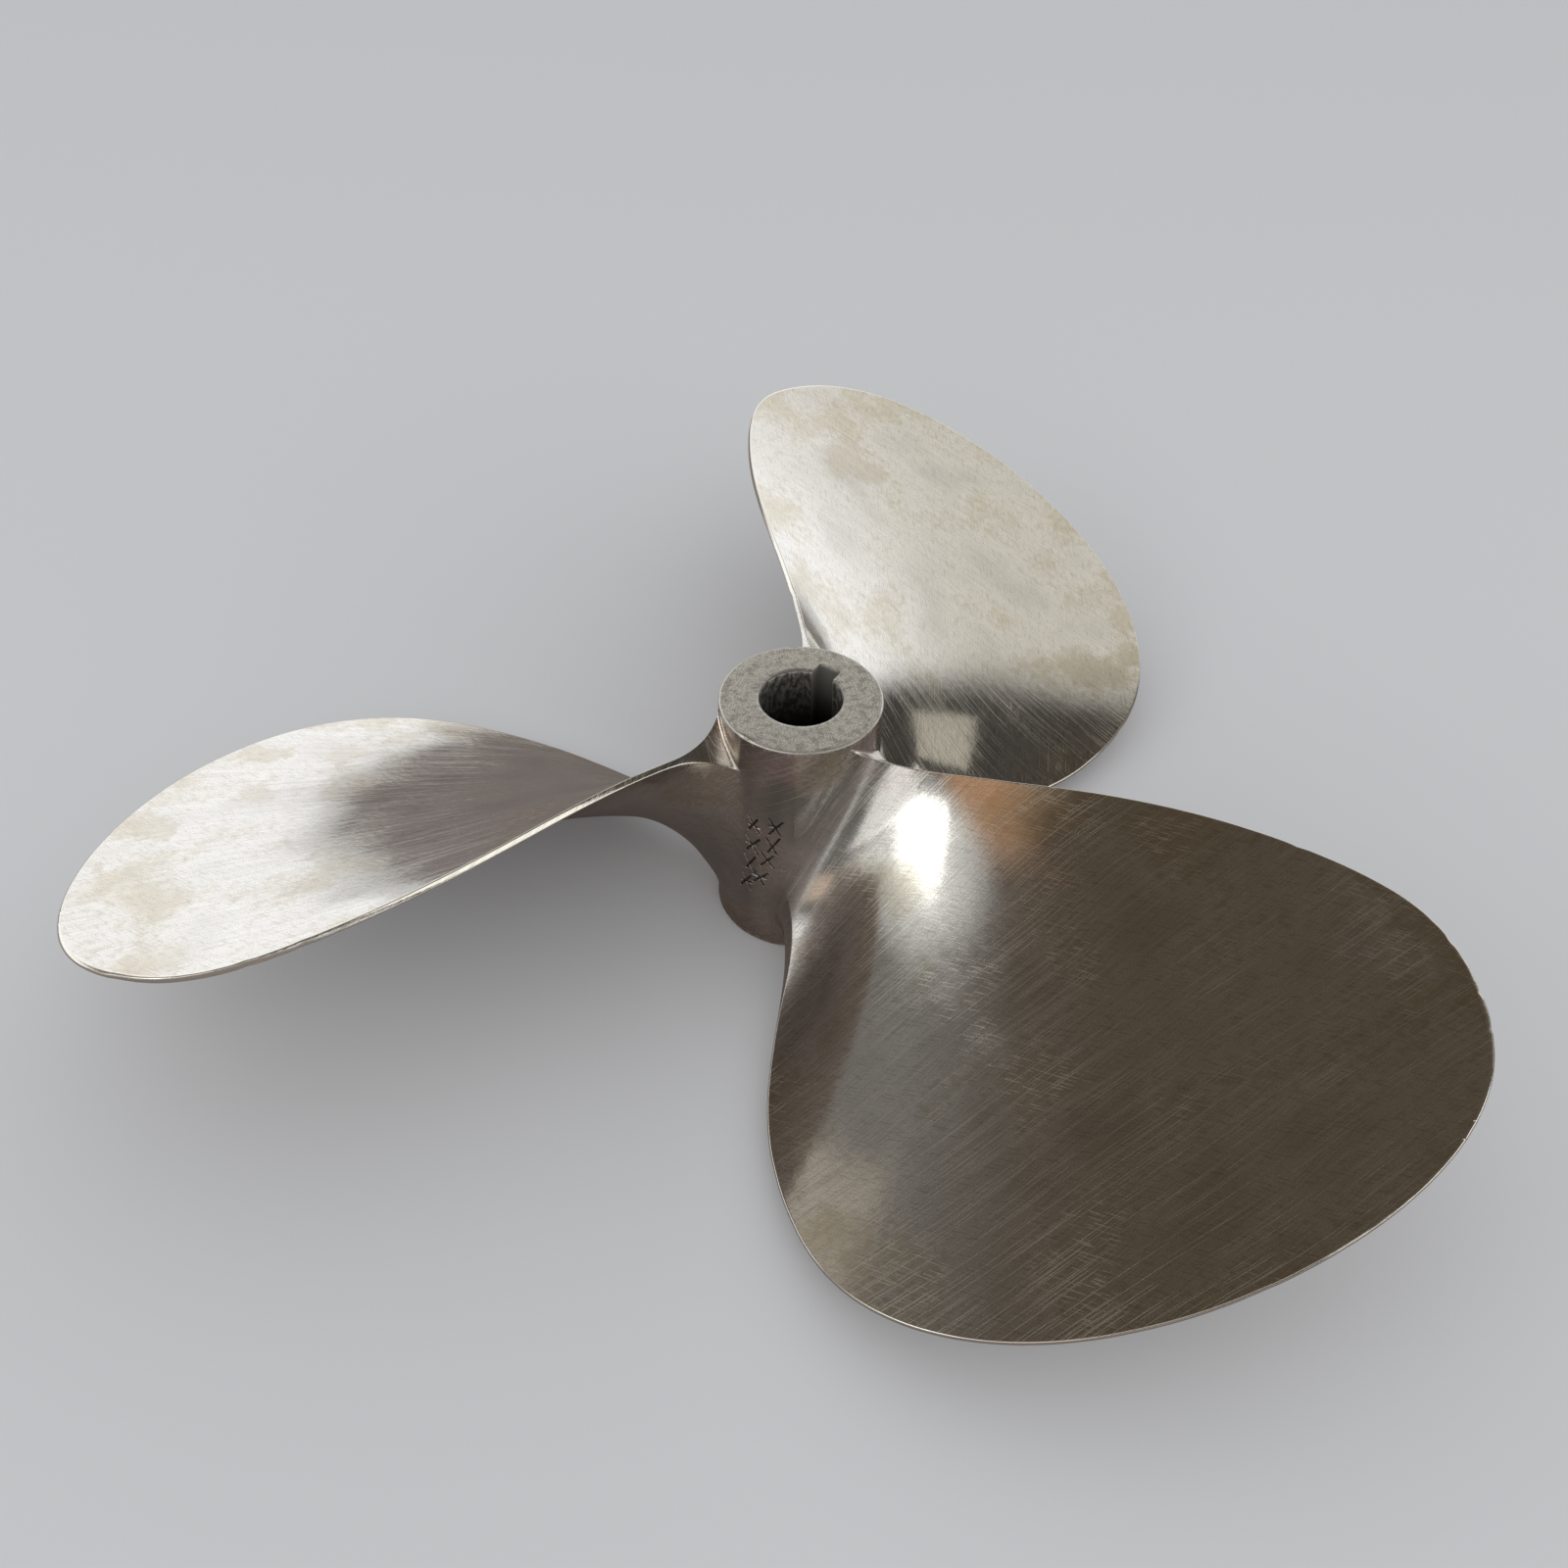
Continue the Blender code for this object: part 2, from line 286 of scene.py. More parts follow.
def half_chord_at(radius):
    share = radius / TIP_RADIUS
    pitch_angle = np.arctan2(pitch_at(share), 2 * np.pi * radius)
    half_angle = width_at(share) * np.sqrt(np.maximum(0.0, 1 - share ** 2))
    return np.maximum(half_angle * radius / np.cos(pitch_angle), TIP_HALF_WIDTH)


def fillet(distance, amount, reach):
    """Growth of a quarter-ellipse fillet at a distance from the hub."""
    gap = np.clip(1 - distance / reach, 0.0, 1.0)
    return amount * (1 - np.sqrt(1 - gap ** 2))


def turn_and_height(radius, chordwise, normal):
    """Place on the blade, in cylinder coordinates."""
    share = radius / TIP_RADIUS
    lead = pitch_at(share) / (2 * np.pi)
    pitch_angle = np.arctan2(lead, radius)
    along, rise = np.cos(pitch_angle), np.sin(pitch_angle)
    turn = skew_at(share) + (chordwise * along - normal * rise) / radius
    height = height_at(share) + lead * skew_at(share) + chordwise * rise + normal * along
    return turn, height


def blade_points(row):
    """Radius, turn and height of points given on the flattened blade.

    row holds arrays: distance from the hub, how far the edge's round draws
    the point inwards, place along the chord and normal to it, and how much
    the root fillets add in those two directions, with the reach of the second.
    """
    distance, inward, chordwise, normal, chord_growth, normal_growth, reach = np.broadcast_arrays(*row)
    chord_reach = np.where(chord_growth > 0, TRAILING_REACH, LEADING_REACH)
    chordwise = chordwise + fillet(distance, chord_growth, chord_reach)
    normal = normal + fillet(distance, normal_growth, reach)
    share = distance / (TIP_RADIUS - HUB_MEAN_RADIUS)
    inward = inward * smooth_step(distance / INSET_FADE)
    radius = HUB_MEAN_RADIUS + distance - inward
    for _ in range(SOLVING_ROUNDS):
        turn, height = turn_and_height(radius, chordwise, normal)
        radius = hub_radius_at(height) * (1 - share) + TIP_RADIUS * share - inward
    return radius, turn, height


def ring_distances():
    """Distances of the blade's rings from the hub, close at both ends."""
    root = ROOT_REACH * (np.arange(ROOT_RINGS) / ROOT_RINGS) ** 2
    length = TIP_RADIUS - HUB_MEAN_RADIUS - ROOT_REACH
    outer = ROOT_REACH + length * np.sin(np.pi / 2 * np.arange(BLADE_RINGS + 1) / BLADE_RINGS)
    return np.concatenate([root, outer])


def column_shares():
    """Shares of the chord at the faces' columns, from the leading edge."""
    edge = np.array(EDGE_SHARES)
    turn = np.linspace(FACE_COLUMNS_FROM, np.pi - FACE_COLUMNS_FROM, FACE_COLUMNS + 1)
    inner = (np.cos(turn[0]) - np.cos(turn)) / (2 * np.cos(turn[0]))
    inner = edge[-1] + (1 - 2 * edge[-1]) * inner
    return np.concatenate([edge[:-1], inner, 1 - edge[-2::-1]])


def edge_dents(distance, half, blade, end):
    """How far dents set an edge back at each distance from the hub."""
    chance = chance_for(blade, end)
    steps = np.hypot(np.diff(distance, axis=0), np.diff(half, axis=0))
    outline = np.concatenate([[[0.0]], np.cumsum(steps, 0)])
    dents = [(np.interp(dent[2], distance[:, 0], outline[:, 0]), *dent[3:])
             for dent in DENTS if dent[:2] == (blade, end)]
    for _ in range(SMALL_DENTS):
        place = chance.uniform(ROOT_REACH, outline[-1, 0] - EVEN_BORDER)
        dents.append((place, chance.uniform(*SMALL_DENT_WIDTHS), chance.uniform(*SMALL_DENT_DEPTHS)))
    return sum(depth * np.exp(-((outline - place) / half_width) ** 2) for place, half_width, depth in dents)


def face_waves(blade, side):
    """Unevenness of a face as a function of place on the flattened blade."""
    chance = chance_for(blade, side + 5)
    waves = []
    for _ in range(WAVES):
        turn, start = chance.uniform(0, math.pi), chance.uniform(0, 2 * math.pi)
        pace = 2 * math.pi / chance.uniform(*WAVE_LENGTHS)
        waves.append((pace * math.cos(turn), pace * math.sin(turn), start))

    def height(distance, chordwise):
        return sum(WAVE_HEIGHT * np.sin(a * distance + b * chordwise + start) for a, b, start in waves)

    return height


class Section:
    """What the blade's cross-section is at each ring, as columns of numbers."""

    def __init__(self, distance, blade=0):
        self.distance = distance[:, None]
        self.waves = {side: face_waves(blade, side) for side in (-1, 1)}
        radius = HUB_MEAN_RADIUS + self.distance
        share = np.minimum(radius / TIP_RADIUS, 1.0)
        self.half = half_chord_at(radius)
        self.wear = EDGE_WEAR * smooth_step(self.distance / INSET_FADE)
        self.dents = {end: edge_dents(self.distance, self.half, blade, end) for end in (-1, 1)}
        self.nose = np.minimum(EDGE_THICKNESS + swelling(radius, LEADING_SWELL, LEADING_SWELL_REACH),
                               self.half)
        self.band = EDGE_THICKNESS + swelling(radius, TRAILING_SWELL, TRAILING_SWELL_REACH)
        self.belly = thickness_at(share) - (self.band + self.nose) / 2
        step = 0.02
        slope = (half_chord_at(radius + step) - half_chord_at(radius - step)) / (2 * step)
        at_tip = self.half <= TIP_HALF_WIDTH
        self.out_radius = np.where(at_tip, 1.0, -slope / np.sqrt(1 + slope ** 2))
        self.out_chord = np.where(at_tip, 0.0, 1 / np.sqrt(1 + slope ** 2))
        end = self.distance[-1, 0]
        self.squareness = smooth_step((1 - self.distance / end) / BAND_FADE)
        self.nose_round = self.nose / 2
        self.band_round = self.band / 2 + (BAND_ROUND - self.band / 2) * self.squareness

    def face(self, along, side):
        """Points of the aft face (side 1) or the forward face (side -1)."""
        near_band = np.maximum(0.0, 2 * along - 1) ** 2
        near_nose = (1 - along) ** 2
        nose_inset = self.nose_round + self.wear
        band_inset = self.band_round + self.wear
        chord_start = -self.half + self.out_chord * (nose_inset + self.dents[-1])
        chord_end = self.half - self.out_chord * (band_inset + self.dents[1])
        chordwise = chord_start + (chord_end - chord_start) * along
        inward = nose_inset + (band_inset - nose_inset) * along
        inward = inward + self.dents[-1] * (1 - along) ** DENT_FADE + self.dents[1] * along ** DENT_FADE
        inward = self.out_radius * inward
        normal = EDGE_THICKNESS / 2
        if side > 0:
            climb, spread, furthest = WEB_CLIMB, AFT_FILLET, AFT_LEADING_REACH
        else:
            depth = self.nose + (self.band - self.nose) * along + self.belly * 4 * along * (1 - along)
            normal = normal - depth
            climb, furthest = WEB_FORWARD_CLIMB, LEADING_SPREAD_REACH
            spread = FORWARD_FILLET + (WEB_FORWARD_SPREAD - FORWARD_FILLET) * near_band
            spread = spread + LEADING_SPREAD * near_nose
        reach = FACE_REACH + (furthest - FACE_REACH) * near_nose
        border = np.minimum(along, 1 - along) * 2 * self.half
        border = np.minimum(border, np.minimum(self.distance, self.distance[-1, 0] - self.distance))
        normal = normal + self.waves[side](self.distance, chordwise) * smooth_step(border / EVEN_BORDER)
        return (self.distance, inward, chordwise, normal, climb * near_band, side * spread, reach)

    def edge(self, end):
        """Points round the leading (-1) or trailing (1) edge, from the aft to the forward face."""
        angle = np.linspace(0, np.pi, EDGE_STEPS + 1)[None, :]
        if end < 0:
            thick, round_here, power = self.nose, self.nose_round, 1.0
        else:
            thick, round_here = self.band, self.band_round
            power = 2 / (2 + (BAND_SQUARENESS - 2) * self.squareness)
        out = np.abs(np.sin(angle)) ** power
        across = np.sign(np.cos(angle)) * np.abs(np.cos(angle)) ** power
        inset = round_here * (1 - out) + self.wear + self.dents[end]
        chordwise = end * (self.half - self.out_chord * inset)
        normal = EDGE_THICKNESS / 2 - thick / 2 * (1 - across)
        if end < 0:
            chord_growth = -LEADING_FILLET * out
            aft = across > 0
            spread = np.where(aft, AFT_FILLET, FORWARD_FILLET + LEADING_SPREAD) * across
            reach = np.where(aft, AFT_LEADING_REACH, LEADING_SPREAD_REACH)
        else:
            share = (1 - across) / 2
            chord_growth = WEB_CLIMB + (WEB_FORWARD_CLIMB - WEB_CLIMB) * share
            spread = AFT_FILLET - (WEB_FORWARD_SPREAD + AFT_FILLET) * share
            reach = FACE_REACH
        return (self.distance, self.out_radius * inset, chordwise, normal,
                chord_growth, spread, reach)

    def tip_edge(self, along):
        """Points round the short edge that closes the blade at its tip."""
        angle = np.linspace(0, np.pi, EDGE_STEPS + 1)[None, :]
        half, along = self.half[-1, 0], along[:, None]
        thick = EDGE_THICKNESS + self.belly[-1, 0] * 4 * along * (1 - along)
        inset = EDGE_THICKNESS / 2 * (1 - np.sin(angle)) + EDGE_WEAR
        normal = EDGE_THICKNESS / 2 - thick / 2 * (1 - np.cos(angle))
        chordwise = -half + 2 * half * along
        return (self.distance[-1, 0], inset, chordwise, normal, 0.0, 0.0, FACE_REACH)


def column_grid(distance):
    """Shares of the chord for every ring; they even out where the blade ends."""
    shares = column_shares()
    even = np.linspace(0, 1, len(shares))
    spread = smooth_step((1 - distance[:, None] / distance[-1]) / TIP_EVENING)
    return even + (shares - even) * spread


def to_space(radius, azimuth, height):
    return np.stack(np.broadcast_arrays(radius * np.cos(azimuth), radius * np.sin(azimuth), height), -1)


class Patchwork:
    """Grids and patches of points that become one mesh, joined where they meet.

    Each point carries its distance from a worn edge (in the bore, from the nearer
    mouth, which also sets the painted shade deep inside), how much it belongs to
    the hub and so takes the hub's painted reflection tone, what is machined there,
    how deep it lies in a strike mark, and its place on the surface rolled out flat,
    with the main brushing along the first axis. It may carry an exact normal; a
    zero one is left to Blender.
    """

    FACTS = ("edge_distance", "hub_share", "machined", "struck")

    def __init__(self):
        self.points, self.faces, self.normals, self.brushes, self.count = [], [], [], [], 0
        self.facts = {name: [] for name in self.FACTS}

    def add_patch(self, points, faces, facts, brush, normals=None):
        self.faces += (np.asarray(faces) + self.count).tolist()
        self.count += len(points)
        self.points.append(points)
        self.normals.append(np.zeros_like(points) if normals is None else normals)
        self.brushes.append(brush)
        for name, value in zip(self.FACTS, facts):
            self.facts[name].append(np.broadcast_to(value, len(points)))

    def add_grid(self, points, facts, brush):
        rows, columns = points.shape[:2]
        index = np.arange(rows * columns).reshape(rows, columns)
        corners = (index[:-1, :-1], index[:-1, 1:], index[1:, 1:], index[1:, :-1])
        faces = np.stack(corners, -1).reshape(-1, 4)
        facts = [np.broadcast_to(fact, (rows, columns)).ravel() for fact in facts]
        self.add_patch(points.reshape(-1, 3), faces, facts, brush.reshape(-1, 2))

    def mesh(self, name):
        """The patches as one closed mesh in metres, in the frame."""
        points = np.concatenate(self.points) * MM
        points[:, 2] += HUB_BASE * MM
        mesh = bpy.data.meshes.new(name)
        mesh.from_pydata(points, [], self.faces)
        facts = {fact: np.concatenate(values) for fact, values in self.facts.items()}
        facts["stains"] = stain_fields(points / MM, facts["edge_distance"], facts["hub_share"])
        facts["brush"] = bent_brush(np.concatenate(self.brushes))
        facts["exact_normal"] = np.concatenate(self.normals)
        for fact, values in facts.items():
            kind, entry = ("FLOAT", "value") if values.ndim == 1 else ("FLOAT_VECTOR", "vector")
            layer = mesh.attributes.new(fact, kind, "POINT")
            layer.data.foreach_set(entry, values.astype(np.float32).ravel())
        shape = bmesh.new()
        shape.from_mesh(mesh)
        exact = shape.verts.layers.float_vector["exact_normal"]
        ends = bmesh.ops.find_doubles(shape, verts=shape.verts, dist=WELD * MM)["targetmap"]
        for vertex, kept in ends.items():
            if kept[exact].length == 0:
                kept[exact] = vertex[exact]
        bmesh.ops.weld_verts(shape, targetmap=ends)
        bmesh.ops.recalc_face_normals(shape, faces=shape.faces)
        shape.to_mesh(mesh)
        shape.free()
        return mesh


def rolled_out(along, across, angle, apart=0.0):
    """Flat coordinates turned so that the brushing, at an angle, runs along the first."""
    along, across = np.broadcast_arrays(along, across)
    cos, sin = math.cos(angle), math.sin(angle)
    return np.stack([along * cos + across * sin + apart, across * cos - along * sin], -1)


def on_middle_plane(radius, turn, height):
    """Place on the plane through a blade's middle: along its radius and across it."""
    across = radius * np.sin(turn) * math.cos(MIDDLE_PITCH)
    return radius * np.cos(turn), across + (height - MIDDLE_HEIGHT) * math.sin(MIDDLE_PITCH)


def bent_brush(brush):
    """Flat coordinates that wander a little, with a zero third one."""
    scale, amount = BRUSH_BEND
    bend = np.array([noise.noise_vector((u * scale, v * scale, 0.0)) for u, v in brush])
    bend[:, 2] = 0
    return np.concatenate([brush, np.zeros((len(brush), 1))], 1) + bend * amount


def in_stains(points, stains):
    """1 in a stain's middle, 0 at its radius and less beyond, for the nearest."""
    nearest = np.full(len(points), -1.0)
    for middle, radius in stains:
        gap = np.sqrt(((points - np.array(middle) - (0, 0, HUB_BASE)) ** 2).sum(1))
        nearest = np.maximum(nearest, 1 - gap / radius)
    return nearest


def stain_fields(points, edge_distance, hub_share):
    """How clouded, how stained and how scuffed each point is, as soft fields."""
    cloud = np.array([noise.fractal(point * CLOUD_GRAIN, *CLOUD_FRACTAL) for point in map(Vector, points)])
    places = points
    for scale, amount in STAIN_WARP:
        push = [noise.noise_vector(point * scale) for point in map(Vector, points)]
        places = places + amount * np.array(push)
    near_edge = smooth_step(1 - edge_distance / EDGE_TAN_REACH) * (1 - hub_share)
    return np.stack([cloud + EDGE_TAN * near_edge, in_stains(places, STAINS),
                     np.maximum(CLOUD_SCUFFS * cloud, in_stains(places, SCUFFS))], -1)


def outline_distance(section, radius_shift, chordwise):
    """Distance of face points from the blade's outline, on the flattened blade."""
    outline = np.concatenate([np.hstack([section.distance, way * section.half]) for way in (-1, 1)])
    here = np.stack(np.broadcast_arrays(section.distance - radius_shift, chordwise), -1)
    return gap_to(here.reshape(-1, 2), outline).reshape(here.shape[:2])


def blade_grids(blade=0):
    """The grids of one blade at azimuth 0, its loop on the hub, the normals there.

    Each grid is radius, turn, height, distance from the blade's worn edge,
    and place on the blade rolled out flat. A zero normal is unknown.
    """
    distance = ring_distances()
    section = Section(distance, blade)
    shares = column_grid(distance)
    grids = []
    rows = [section.face(shares, 1), section.face(shares, -1), section.edge(-1), section.edge(1),
            section.tip_edge(shares[-1])]
    for number, row in enumerate(rows):
        edge_distance = outline_distance(section, row[1], row[2]) if number < 2 else 0.0
        unworn = FAR_FROM_EDGE * (1 - smooth_step(row[0] / BLADE_ROOT_REACH))
        apart = BRUSH_APART * (1 + 2 * blade + (number == 1))
        radius, turn, height = blade_points(row)
        along, across = on_middle_plane(radius, turn, height)
        brush = rolled_out(along, across + row[3], BRUSH_ANGLES[blade], apart)
        grids.append((radius, turn, height, edge_distance + unworn, brush))
    aft, forward, leading, trailing = [(grid[1][0], grid[2][0]) for grid in grids[:4]]
    loop = [np.concatenate([aft[k], trailing[k][1:-1], forward[k][::-1], leading[k][-2:0:-1]])
            for k in (0, 1)]
    slopes = [root_normals(*grid[:3]) for grid in grids[:2]]
    unset = [np.zeros((len(edge[0]) - 2, 3)) for edge in (trailing, leading)]
    slopes = np.concatenate([slopes[0], unset[0], slopes[1][::-1], unset[1]])
    return grids, np.stack(loop, -1), slopes


def root_normals(radius, turn, height):
    """Outward normals of a blade's face where it meets the hub."""
    points = to_space(radius, turn, height)
    normals = np.cross(np.gradient(points[0], axis=0), points[1] - points[0])
    normals /= np.linalg.norm(normals, axis=1)[:, None]
    outward = (normals * to_space(1.0, turn[0], 0.0)).sum(1)
    return normals * np.sign(outward)[:, None]


def eased_normals(flat, normals, roots, slopes):
    """Hub normals that lean towards those of the fillets close to them."""
    normals = normals / np.linalg.norm(normals, axis=1)[:, None]
    for root, slope in zip(roots, slopes):
        gap = ((flat[:, None] - root[None]) ** 2).sum(-1)
        near = np.exp(-(gap - gap.min(1)[:, None]) / EASE_SPREAD ** 2)
        near *= (slope ** 2).sum(1) > 0
        lean = near @ slope / (near.sum(1)[:, None] + 1e-9)
        share = 1 - smooth_step(np.sqrt(gap.min(1)) / EASE_REACH)
        normals = normals + (share * np.minimum(near.sum(1), 1))[:, None] * (lean - normals)
    return normals / np.linalg.norm(normals, axis=1)[:, None]


def inside(points, polygon):
    """Which points lie inside a closed polygon of the plane."""
    x, y = points.T
    found = np.zeros(len(points), bool)
    for (x0, y0), (x1, y1) in zip(polygon, np.roll(polygon, -1, 0)):
        if y0 != y1:
            found ^= ((y < y0) != (y < y1)) & (x < x0 + (y - y0) * (x1 - x0) / (y1 - y0))
    return found


def gap_to(points, others):
    """Distance from each point to the nearest of the others."""
    return np.sqrt(np.min([((points - other) ** 2).sum(1) for other in others], 0))


def plane_grid(low, high, columns, rows):
    """Points inside a rectangle, without its border."""
    x = np.linspace(low[0], high[0], columns + 1)[1:-1]
    y = np.linspace(low[1], high[1], rows + 1)[1:-1]
    return np.stack(np.meshgrid(x, y), -1).reshape(-1, 2)


def strikes():
    """Strokes of the struck crosses, with uneven ends; about half have a third one."""
    chance = random.Random(SEED)
    strokes = []
    for middle in STRIKE_CELLS:
        for lean in (-1, 1, 0.1):
            ends = []
            for way in (-1, 1):
                jitter = [chance.uniform(-STRIKE_JITTER, STRIKE_JITTER) for _ in range(2)]
                ends.append((middle[0] + way * STRIKE_SIZE[0] + jitter[0],
                             middle[1] + way * lean * STRIKE_SIZE[1] + jitter[1]))
            if abs(lean) == 1 or chance.random() < 0.5:
                strokes.append(ends)
    return strokes


def strike_depth(flat):
    """Depth of the hub's strike marks, and their raised lips, on the unrolled side."""
    nearest = np.full(len(flat), np.inf)
    for start, end in strikes():
        start, end = np.array(start), np.array(end)
        along = end - start
        share = np.clip(((flat - start) @ along) / (along @ along), 0, 1)
        gap = np.sqrt(((flat - start - share[:, None] * along) ** 2).sum(1))
        nearest = np.minimum(nearest, gap / (STRIKE_WIDTH / 2))
    lip = STRIKE_LIP * np.sin(math.pi * np.clip(nearest - 1, 0, 1))
    return STRIKE_DEPTH * (np.maximum(1 - nearest ** 2, 0) - lip)


def side_corners():
    """Low and high corner of the hub's side, unrolled at the mean radius.

    A point there is its azimuth times that radius, and its height. The seam
    runs between two blades.
    """
    low = np.array([SEAM_AZIMUTH * HUB_MEAN_RADIUS, HUB_EDGE_ROUND])
    high = np.array([(SEAM_AZIMUTH + 2 * math.pi) * HUB_MEAN_RADIUS, HUB_LENGTH - HUB_EDGE_ROUND])
    return low, high


def side_border(low, high):
    across = np.linspace(low[0], high[0], HUB_TURNS + 1)
    up = np.linspace(low[1], high[1], SIDE_ROWS + 1)
    lines = ((across[:-1], low[1]), (high[0], up[:-1]), (across[:0:-1], high[1]), (low[0], up[:0:-1]))
    return np.concatenate([np.stack(np.broadcast_arrays(*line), -1) for line in lines])


def side_roots(loop, slopes):
    """The outline of each blade's root on the unrolled side, and its normals."""
    roots, turned_slopes = [], []
    for blade in range(BLADES):
        azimuth = loop[:, 0] + blade_turn(blade)
        azimuth += 2 * math.pi * (azimuth.mean() < SEAM_AZIMUTH)
        roots.append(np.stack([azimuth * HUB_MEAN_RADIUS, loop[:, 1]], -1))
        turned_slopes.append(slopes @ np.array(Matrix.Rotation(blade_turn(blade), 3, "Z")).T)
    return roots, turned_slopes


def side_points(low, high, roots):
    """Points between the roots, closest at the strike marks."""
    coarse = plane_grid(low, high, HUB_TURNS, SIDE_ROWS)
    fine = plane_grid(MARKS_LOW, MARKS_HIGH, MARK_COLUMNS, MARK_ROWS)
    beside_marks = MARK_MARGIN * np.array([-1, 1])[:, None] + np.array([MARKS_LOW, MARKS_HIGH])
    coarse = coarse[~((coarse > beside_marks[0]) & (coarse < beside_marks[1])).all(1)]
    spots = np.concatenate(roots)
    inner = np.concatenate([coarse[gap_to(coarse, spots) > ROOT_CLEARANCE],
                            fine[gap_to(fine, spots) > MARK_CLEARANCE]])
    for root in roots:
        inner = inner[~inside(inner, root)]
    return inner


def triangulated(border, holes, inner):
    """Points and triangles inside a border, outside holes, and which points are on either."""
    edges, start = [], 0
    for ring in [border] + holes:
        index = start + np.arange(len(ring))
        edges += np.stack([index, np.roll(index, -1)], -1).tolist()
        start += len(ring)
    points = np.concatenate([border] + holes + [inner])
    made = delaunay_2d_cdt([Vector(point) for point in points], edges, [], 1, SAME_POINT, True)
    order = np.array([ids[0] for ids in made[3]])
    flat, faces = points[order], np.array(made[2])
    for hole in holes:
        faces = faces[~inside(flat[faces].mean(1), hole)]
    return flat, faces, order < start


def hub_side(loop, slopes):
    """The hub's side between the roots, as a patch: its points, triangles and facts."""
    low, high = side_corners()
    roots, root_slopes = side_roots(loop, slopes)
    flat, faces, on_ring = triangulated(side_border(low, high), roots, side_points(low, high, roots))
    azimuth, height = flat[:, 0] / HUB_MEAN_RADIUS, flat[:, 1]
    depth = np.where(on_ring, 0.0, strike_depth(flat))
    slope = (hub_radius_at(height + 1) - hub_radius_at(height - 1)) / 2
    normals = np.stack([np.cos(azimuth), np.sin(azimuth), -slope], -1)
    normals = eased_normals(flat, normals, roots, root_slopes)
    normals[depth != 0] = 0
    points = to_space(hub_radius_at(height) - depth, azimuth, height)
    from_root = gap_to(flat, np.concatenate(roots))
    hub_share = ROOT_TONE + (1 - ROOT_TONE) * smooth_step(from_root / ROOT_TONE_REACH)
    from_rim = np.minimum(height, HUB_LENGTH - height) - HUB_EDGE_ROUND + RIM_SIDE_LEAST
    facts = (from_rim, hub_share, 0.0, np.maximum(depth, 0) / STRIKE_DEPTH)
    return points, faces, facts, rolled_out(flat[:, 0], height, HUB_BRUSH_CLIMB), normals


def bore_radius_at(height):
    return BORE_AFT_RADIUS + TAPER_ON_DIAMETER / 2 * (HUB_LENGTH - height)


def keyed_outline(radius, height):
    """The bore's outline at a height, with the keyway, in the plane."""
    turns = np.arange(HUB_TURNS)
    turns = np.where(turns > HUB_TURNS / 2, turns - HUB_TURNS, turns)
    half_width = KEY_WIDTH / 2
    edge_angle = math.asin(half_width / radius)
    edge_reach = math.sqrt(radius ** 2 - half_width ** 2)
    floor = bore_radius_at(height) + KEY_DEPTH
    beyond = (np.abs(turns) - KEY_EDGE_TURN) / (HUB_TURNS / 2 - KEY_EDGE_TURN)
    angle = np.sign(turns) * (edge_angle + beyond * (math.pi - edge_angle))
    up_wall = (KEY_EDGE_TURN - np.abs(turns)) / (KEY_EDGE_TURN - KEY_CORNER_TURN)
    reach = edge_reach + (floor - edge_reach) * np.clip(up_wall, 0, 1)
    sideways = half_width * np.clip(turns / KEY_CORNER_TURN, -1, 1)
    in_key = np.abs(turns) < KEY_EDGE_TURN
    x = np.where(in_key, reach, radius * np.cos(angle))
    y = np.where(in_key, sideways, radius * np.sin(angle))
    cos, sin = math.cos(KEY_AZIMUTH), math.sin(KEY_AZIMUTH)
    return np.stack([x * cos - y * sin, x * sin + y * cos], -1)


def round_outline(radius):
    return np.stack([radius * np.cos(HUB_ANGLES), radius * np.sin(HUB_ANGLES)], -1)


def rim_dents(up):
    """Depth of the dents in a rim at each of its turns; up is 1 or -1."""
    dent = np.zeros(HUB_TURNS)
    for azimuth, half_width, depth in RIM_DENTS:
        gap = (HUB_ANGLES - up * math.radians(azimuth) + math.pi) % (2 * math.pi) - math.pi
        dent += depth * np.exp(-(gap * HUB_MEAN_RADIUS / half_width) ** 2)
    return dent


def at_height(outline, height):
    return np.concatenate([outline, np.broadcast_to(height, len(outline))[:, None]], 1)


def hub_end(height, rim_height, mouth_radius, up):
    """Rows over the hub's rim and across its face to the bore's mouth."""
    centre = hub_radius_at(rim_height) - HUB_EDGE_ROUND
    rows = []
    dent = rim_dents(up)
    for i in range(RIM_STEPS):
        angle = math.pi / 2 * i / RIM_STEPS
        rounding = HUB_EDGE_ROUND - dent * math.sin(2 * angle)
        rows.append(at_height(round_outline(centre + rounding * math.cos(angle)),
                              rim_height + up * rounding * math.sin(angle)))
    outside, mouth = round_outline(centre), keyed_outline(mouth_radius, height)
    for share in np.linspace(0, 1, FACE_STEPS + 1):
        rows.append(at_height(outside * (1 - share) + mouth * share, height))
    return rows


